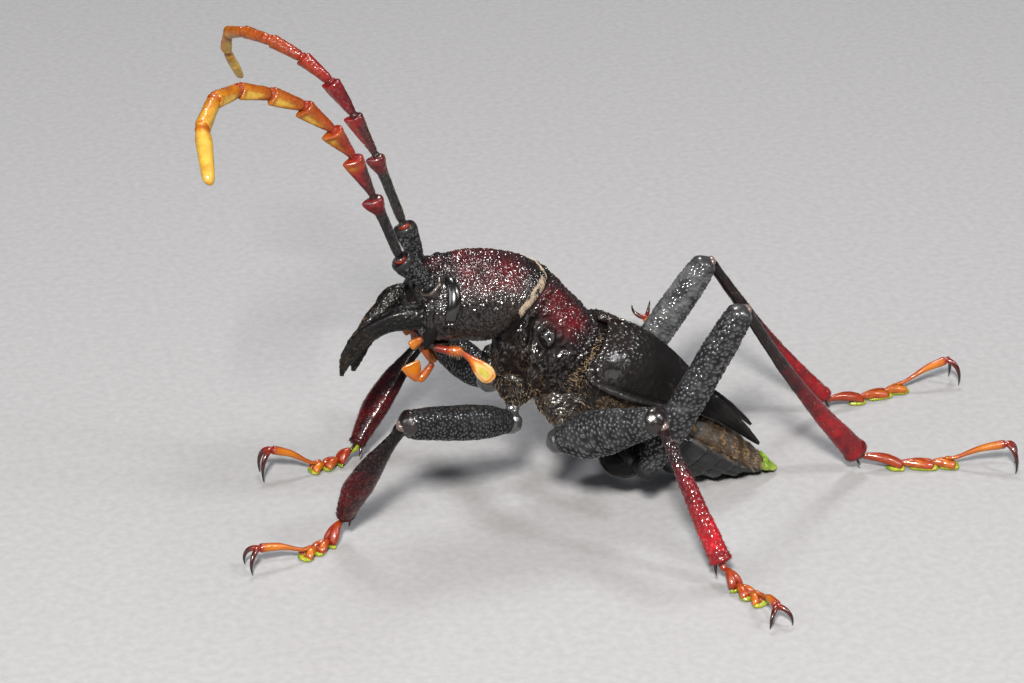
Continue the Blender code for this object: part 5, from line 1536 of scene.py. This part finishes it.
def foot(leg, seed):
    """A foot: a neck from the shin, three joints that widen and part into two lobes over soft green soles, and a
    long bent claw joint. Returns the foot and its two claws."""
    down = unit(leg.ankle - leg.shin)
    run = leg.pads - leg.ankle
    run[2] = 0.0
    reach = np.linalg.norm(run)
    run = run / reach
    side = unit(np.cross(run, UP))
    start = leg.ankle + 0.1 * down
    low = np.array([1.0, 1.0, 0.0])
    first = leg.ankle * low + run * 0.30 + UP * 0.62
    last = leg.ankle * low + run * (reach + 0.10) + UP * 0.50
    made = []
    neck, along, _ = rod([start - 0.3 * down, start + 0.2 * down, start + 0.45 * down + 0.25 * run],
                            (0.30, 0.34, 0.30), (0.30, 0.34, 0.30), side, 24, 20)
    neck[..., 2] = np.maximum(neck[..., 2], 0.1)
    made.append(tube(neck, tone=np.clip(0.76 - 0.1 * along, 0.3, 1.0) if leg.name != "front_right" else 0.06))
    shares = FOOT_PARTS[leg.pair]
    for k in range(3):
        base = first + (last - first) * (shares[k] - 0.04 * (k > 0)) + UP * 0.12
        tip = first + (last - first) * shares[k + 1]
        if k == 0:
            base = start + 0.35 * down + 0.1 * run
            base[2] = max(base[2], 0.7)
        points = [base + (tip - base) * s + UP * (0.22 * np.sin(np.pi * s) * (k == 0))
                  for s in (0.0, 0.3, 0.62, 0.86, 1.0)]
        width = (0.90, 0.98, 1.0)[k] * (0.92 if leg.pair == "hind" else 1.0)
        made.extend(foot_joint(points, side, width, k, seed + 13 * k))
    ahead = unit(leg.claws - leg.pads)
    arch = 0.5 * (leg.pads + leg.claws) + np.array([0.0, 0.0, 0.35])
    root = leg.pads - run + np.array([0.0, 0.0, 0.25])
    stem, along, turn = rod([root, leg.pads + np.array([0.0, 0.0, 0.25]), arch, leg.claws], (0.18, 0.20, 0.34, 0.44),
                            (0.18, 0.20, 0.34, 0.44), unit(np.cross(ahead, UP)), 48, 30)
    stem = raised(stem, 0.02 * cloud(stem, 0.5, seed + 8))
    share = along / along[-1]
    tone = 0.54 - 0.10 * bell(share, 0.7, 0.22) + 0.30 * ease(0.9, 1.0, share)
    tone = tone + 0.14 * bell(turn, 0.0, 0.05) + 0.14 * bell(turn, 1.0, 0.05)
    made.append(tube(stem, tone=held(tone)))
    cross = unit(np.cross(ahead, UP))
    flat = unit(np.array([ahead[0], ahead[1], 0.0]))
    hooks = []
    for flip in (-1.0, 1.0):
        drop = leg.claws[2] - (0.16 if leg.name != RAISED else 4.2)
        t = np.linspace(0.0, 1.0, 9)[:, None]
        points = leg.claws + flat * (1.02 * np.sin(1.95 * t)) + cross * (flip * (0.30 * np.sin(3.0 * t) + 0.98 * t))
        points = points - UP * (drop * (1.0 - np.cos(0.5 * np.pi * t)))
        points = np.vstack([leg.claws - 0.3 * ahead, points])
        hook, along, _ = rod(points, (0.24, 0.24, 0.22, 0.17, 0.10, 0.02), (0.26, 0.27, 0.24, 0.18, 0.11, 0.02),
                             cross, 56, 24, 2.0, (0.6, 0.2))
        hook[..., 2] = np.maximum(hook[..., 2], 0.0)
        hooks.append(tube(hook, tone=held(0.95 - 1.1 * along / along[-1])))
    return made, hooks


# Hair: every hair is a thin three-sided tuft rooted in a skin

def bed(name, count, seed, weight=None):
    """Random roots on a kept surface, as likely in each cell as its area times its weight. Returns places,
    outward normals, and places on the surface's own unwrap, turn by run, both from 0 to 1."""
    grid = SKIN[name]["grid"]
    rows, columns = grid.shape[:2]
    across = np.linalg.norm(np.roll(grid, -1, axis=1) - grid, axis=-1)
    down = np.linalg.norm(np.gradient(grid, axis=0), axis=-1)
    chance = across * down * (1.0 if weight is None else np.clip(weight, 0.0, None))
    chance = (chance / chance.sum()).ravel()
    dice = np.random.RandomState(seed)
    picked = dice.choice(rows * columns, count, p=chance)
    row, column = np.divmod(picked, columns)
    normal = facing(grid)[row, column]
    ahead = unit(grid[row, (column + 1) % columns] - grid[row, column])
    place = grid[row, column] + ahead * ((dice.rand(count) - 0.5) * across[row, column])[:, None]
    return place, normal, np.stack([(column + 0.5) / columns, (row + 0.5) / rows], axis=1)


def tufts(roots, flow, length, radius, seed, tilt=0.35, wild=0.25, droop=0.3, tone=(0.35, 0.9), tile=(0, 1)):
    """Hairs from their roots: each follows the flow laid flat on the skin and tilted up, bends over by a square
    law, and tapers to a point. Its patch on the unwrap reaches PATCH each way, in the given tile of a row of tiles."""
    place, normal, spot = roots
    count = len(place)
    dice = np.random.RandomState(seed)
    flow = np.broadcast_to(flow, (count, 3)) + wild * dice.normal(size=(count, 3))
    lying = unit(flow - np.sum(flow * normal, axis=1, keepdims=True) * normal)
    lean = np.clip(tilt + 0.5 * wild * dice.normal(size=(count, 1)), 0.05, 1.4)
    way = lying * np.cos(lean) + normal * np.sin(lean)
    reach = length * (0.65 + 0.7 * dice.rand(count, 1))
    bend = lying * 0.6 - normal * np.sin(lean)
    steps = np.array([0.0, 0.4, 0.75])
    middle = place[:, None] - normal[:, None] * 0.06 + way[:, None] * (reach * steps)[..., None]
    middle = middle + bend[:, None] * (droop * reach * steps ** 2)[..., None]
    tip = place + way * reach + bend * (droop * reach)
    first = unit(np.cross(way, normal + 0.01))
    second = np.cross(way, first)
    angle = 2.0 * np.pi * np.arange(3) / 3.0
    ring = first[:, None] * np.cos(angle)[None, :, None] + second[:, None] * np.sin(angle)[None, :, None]
    size = radius * np.array([1.0, 0.85, 0.55])
    body = middle[:, :, None] + ring[:, None] * size[None, :, None, None]
    points = np.concatenate([body.reshape(count, 9, 3), tip[:, None]], axis=1).reshape(-1, 3)
    base = 10 * np.arange(count)[:, None, None]
    quads = [(3 * k + i, 3 * k + (i + 1) % 3, 3 * k + 3 + (i + 1) % 3, 3 * k + 3 + i) for k in (0, 1) for i in range(3)]
    ends = [(6 + i, 6 + (i + 1) % 3, 9) for i in range(3)] + [(2, 1, 0)]
    quads = (base + np.array(quads)[None]).reshape(-1, 4)
    ends = (base + np.array(ends)[None]).reshape(-1, 3)
    shade = tone[0] + (tone[1] - tone[0]) * np.array([0.0] * 3 + [0.4] * 3 + [0.8] * 3 + [1.0])
    shade = held(shade[None] + 0.18 * dice.normal(size=(count, 1)))
    patch = PATCH * np.array([(-1, -1), (1, -1), (0, -1), (-1, 0), (1, 0), (0, 0), (-1, 1), (1, 1), (0, 1), (0, 1)])
    number, tiles = tile
    across = (number + 0.02 + 0.96 * spot[:, :1]) / tiles
    unwrap = np.stack([across + patch[:, 0], 0.01 + 0.98 * spot[:, 1:] + patch[:, 1]], axis=-1)
    faces = outward(points, [quads, ends])
    return points, faces, {"tone": shade.ravel(), "u": unwrap[..., 0].ravel(), "v": unwrap[..., 1].ravel()}


def body_place(name):
    """The station and the degrees round from the top of each place of a kept body surface."""
    grid = SKIN[name]["grid"]
    degrees = from_top(grid.shape[1]) + 0.0 * grid[..., 0]
    return (grid - SLOPE_FOOT) @ BACKWARD, degrees


def build_coat():
    """The hairs: a pale fringe on the collar's front edge, golden down on the underside, round the coxae, at the
    roots of the wing cases and along the hind body's sides, and short bristles on jaws, palps, feelers and legs."""
    rows, columns = SKIN["neck"]["grid"].shape[:2]
    degrees = from_top(columns)
    line = np.linspace(0.0, 1.0, rows)[:, None]
    front = ease(0.26, 0.32, line) * fade(0.68, 0.74, line) * fade(88.0, 104.0, degrees)
    front = front * (0.06 + ease(34.0, 50.0, degrees)) * (0.3 + cloud(SKIN["neck"]["grid"], 0.5, 409))
    fringe = tufts(bed("neck", 5000, 401, front), -BACKWARD + 0.5 * UPWARD, 0.46, 0.036, 402, 0.95, 0.12, 0.4,
                   (0.3, 1.0))
    piece("coat_fringe", [fringe], FRINGE_HAIR, None)
    station, degrees = body_place("pronotum")
    below = ease(96.0, 120.0, degrees) * ease(0.0, 0.8, station)
    below = below * (0.4 + cloud(SKIN["pronotum"]["grid"], 1.0, 405) ** 2)
    under = tufts(bed("pronotum", 800, 403, below), BACKWARD, 0.50, 0.014, 404, 0.3, 0.6, 0.4, (0.0, 0.6))
    piece("coat_collar", [under], GOLDEN_HAIR, None)
    station, degrees = body_place("thorax")
    edge = SKIN["thorax"]["edge"] ** 1.5 * ease(35.0, 60.0, degrees) + 0.05
    parts = [tufts(bed("thorax", 2600, 405, edge), BACKWARD, 0.42, 0.016, 406, 0.3, 0.5, 0.4, (0.2, 0.95), (0, 7))]
    base = fade(7.0, 7.6, station) * ease(20.0, 40.0, degrees) * fade(95.0, 115.0, degrees)
    parts.append(tufts(bed("thorax", 900, 438, base), BACKWARD + 0.6 * UPWARD, 0.50, 0.020, 439, 0.7, 0.8, 0.4,
                       (0.4, 1.0), (0, 7)))
    for k, (pair, side) in enumerate((pair, side) for pair in COXA for side in SIDES.values()):
        roots = bed(f"coxa_{pair}_{side:.0f}", 140 if pair == "hind" else 760, 407 + k)
        parts.append(tufts(roots, -UP + 0.5 * BACKWARD, 0.40, 0.015, 420 + k, 0.4, 0.6, 0.4, (0.3, 1.0), (1 + k, 7)))
    piece("coat_trunk", parts, GOLDEN_HAIR, None)
    station, degrees = body_place("abdomen")
    flank = bell(degrees, 60.0, 26.0) * (0.15 + ease(20.0, 27.0, station)) * (1.0 - SKIN["abdomen"]["below"])
    parts = [tufts(bed("abdomen", 1500, 431, flank), BACKWARD, 0.55, 0.015, 432, 0.15, 0.25, 0.3, (0.1, 0.9))]
    piece("coat_hind_body", parts, GOLDEN_HAIR, None)
    parts = []
    for k, name in enumerate(LEGS):
        leg = Leg(name)
        grid = SKIN["tibia_" + name]["grid"]
        weight = 0.3 + ease(0.3, 1.0, np.linspace(0.0, 1.0, grid.shape[0])[:, None]) + 0.0 * grid[..., 0]
        parts.append(tufts(bed("femur_" + name, 260, 441 + k), leg.along, 0.20, 0.012, 451 + k, 0.5, 0.3, 0.3,
                           (0.0, 0.4), (2 * k, 12)))
        parts.append(tufts(bed("tibia_" + name, 520, 461 + k, weight), leg.down, 0.34, 0.014, 471 + k, 0.6, 0.3, 0.3,
                           (0.0, 0.45), (2 * k + 1, 12)))
    piece("coat_legs", parts, GOLDEN_HAIR, None)
    down = unit(np.array([0.2, -0.1, -1.0]))
    face = (("joint_61_1", 170, 0.30, UP, 0.7), ("joint_63_1", 110, 0.26, UP, 0.7), ("joint_61_0", 60, 0.2, UP, 0.7),
            ("palp_72", 70, 0.40, down, 0.9), ("palp_75", 40, 0.3, down, 0.9), ("jaw_right", 260, 0.34, UP, 0.7))
    parts = [tufts(bed(name, count, 501 + k), flow, size, 0.013, 511 + k, lean, 0.3, 0.2, (0.35, 1.0), (k, len(face)))
             for k, (name, count, size, flow, lean) in enumerate(face)]
    piece("coat_face", parts, GOLDEN_HAIR, None)


def build_body():
    """Every piece of the skin, each in place of its solids."""
    piece("head_capsule", [head_skin(), *mouth(), socket_ring("left"), socket_ring("right")], OXBLOOD_CHITIN,
          "shell_oxblood", "head")
    for name, side in SIDES.items():
        piece(f"eye_lens_{name}", [eye_lens(side)], EYE_LENS, "eye_black", f"eye_{name}")
    piece("pronotum", [collar_skin()], OXBLOOD_CHITIN, "shell_oxblood", "prothorax")
    piece("neck", [neck_skin()], DUSTY_CHITIN, "shell_black")
    piece("wing_cover_left", [wing_case(-1.0, 0.0, 31)], VELVET_CHITIN, "shell_velvet", "wing_case_left")
    piece("wing_cover_right", [wing_case(1.0, 0.35, 41)], VELVET_CHITIN, "shell_velvet", "wing_case_right")
    hips = [hip(pair, side) for pair in COXA for side in SIDES.values()]
    hips += [hip_plate(side) for side in SIDES.values()]
    piece("trunk", [thorax_skin(), *hips], DUSTY_CHITIN, "shell_black", "thorax")
    piece("shield", [shield()], OXBLOOD_CHITIN, "shell_black", "scutellum")
    piece("hind_body", [abdomen_skin()], PLATE_CHITIN, "shell_black", "abdomen")
    piece("tail_tip", [tail_tip()], LIME_SKIN, "tip_lime", "abdomen_tip")
    for name in SIDES:
        piece(f"jaw_{name}", [mandible(name, 57)], JAW_CHITIN, "shell_black", f"mandible_{name}")
        piece(f"club_{name}", [scape(name, 58)], CHARCOAL_CHITIN, "shell_black", f"scape_{name}")
        piece(f"feeler_{name}", feeler(name), FEELER_CHITIN, "joint_orange", f"feeler_lower_{name}",
              f"feeler_upper_{name}")
    near, far, short = palps()
    piece("palp_near", near, AMBER_CHITIN, "joint_orange", "palp_left")
    piece("palp_far", far, AMBER_CHITIN, "joint_orange", "palp_right")
    piece("palp_short", short, AMBER_CHITIN, "joint_orange")
    knees = []
    for k, name in enumerate(LEGS):
        leg = Leg(name)
        piece(f"thigh_{name}", [thigh(leg, 101 + 7 * k), knuckle(leg, 103 + 7 * k)], CHARCOAL_CHITIN, "shell_black",
              f"femur_{name}")
        piece(f"shin_{name}", shin(leg, 151 + 7 * k), WINE_CHITIN, "shell_wine", f"tibia_{name}")
        pads, hooks = foot(leg, 201 + 11 * k)
        piece(f"foot_{name}", pads, AMBER_CHITIN, "joint_orange", f"tarsus_{name}")
        piece(f"hooks_{name}", hooks, CLAW_CHITIN, "joint_orange")
        knees.append(knee_skin(leg, 301 + k))
    piece("knee_skin", knees, JOINT_SKIN, None)
    cheeks = [knee_cheeks(Leg(name), 311 + k) for k, name in enumerate(LEGS) if not name.startswith("hind")]
    piece("knee_cheeks", cheeks, OXBLOOD_CHITIN, "shell_oxblood")
    build_coat()


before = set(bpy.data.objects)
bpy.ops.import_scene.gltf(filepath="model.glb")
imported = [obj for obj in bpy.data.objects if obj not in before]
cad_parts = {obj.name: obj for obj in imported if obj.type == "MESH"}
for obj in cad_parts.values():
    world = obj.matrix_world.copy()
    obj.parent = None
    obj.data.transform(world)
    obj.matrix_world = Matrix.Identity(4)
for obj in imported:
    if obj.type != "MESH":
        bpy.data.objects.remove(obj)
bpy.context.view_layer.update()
set_camera()
set_stage()
build_body()
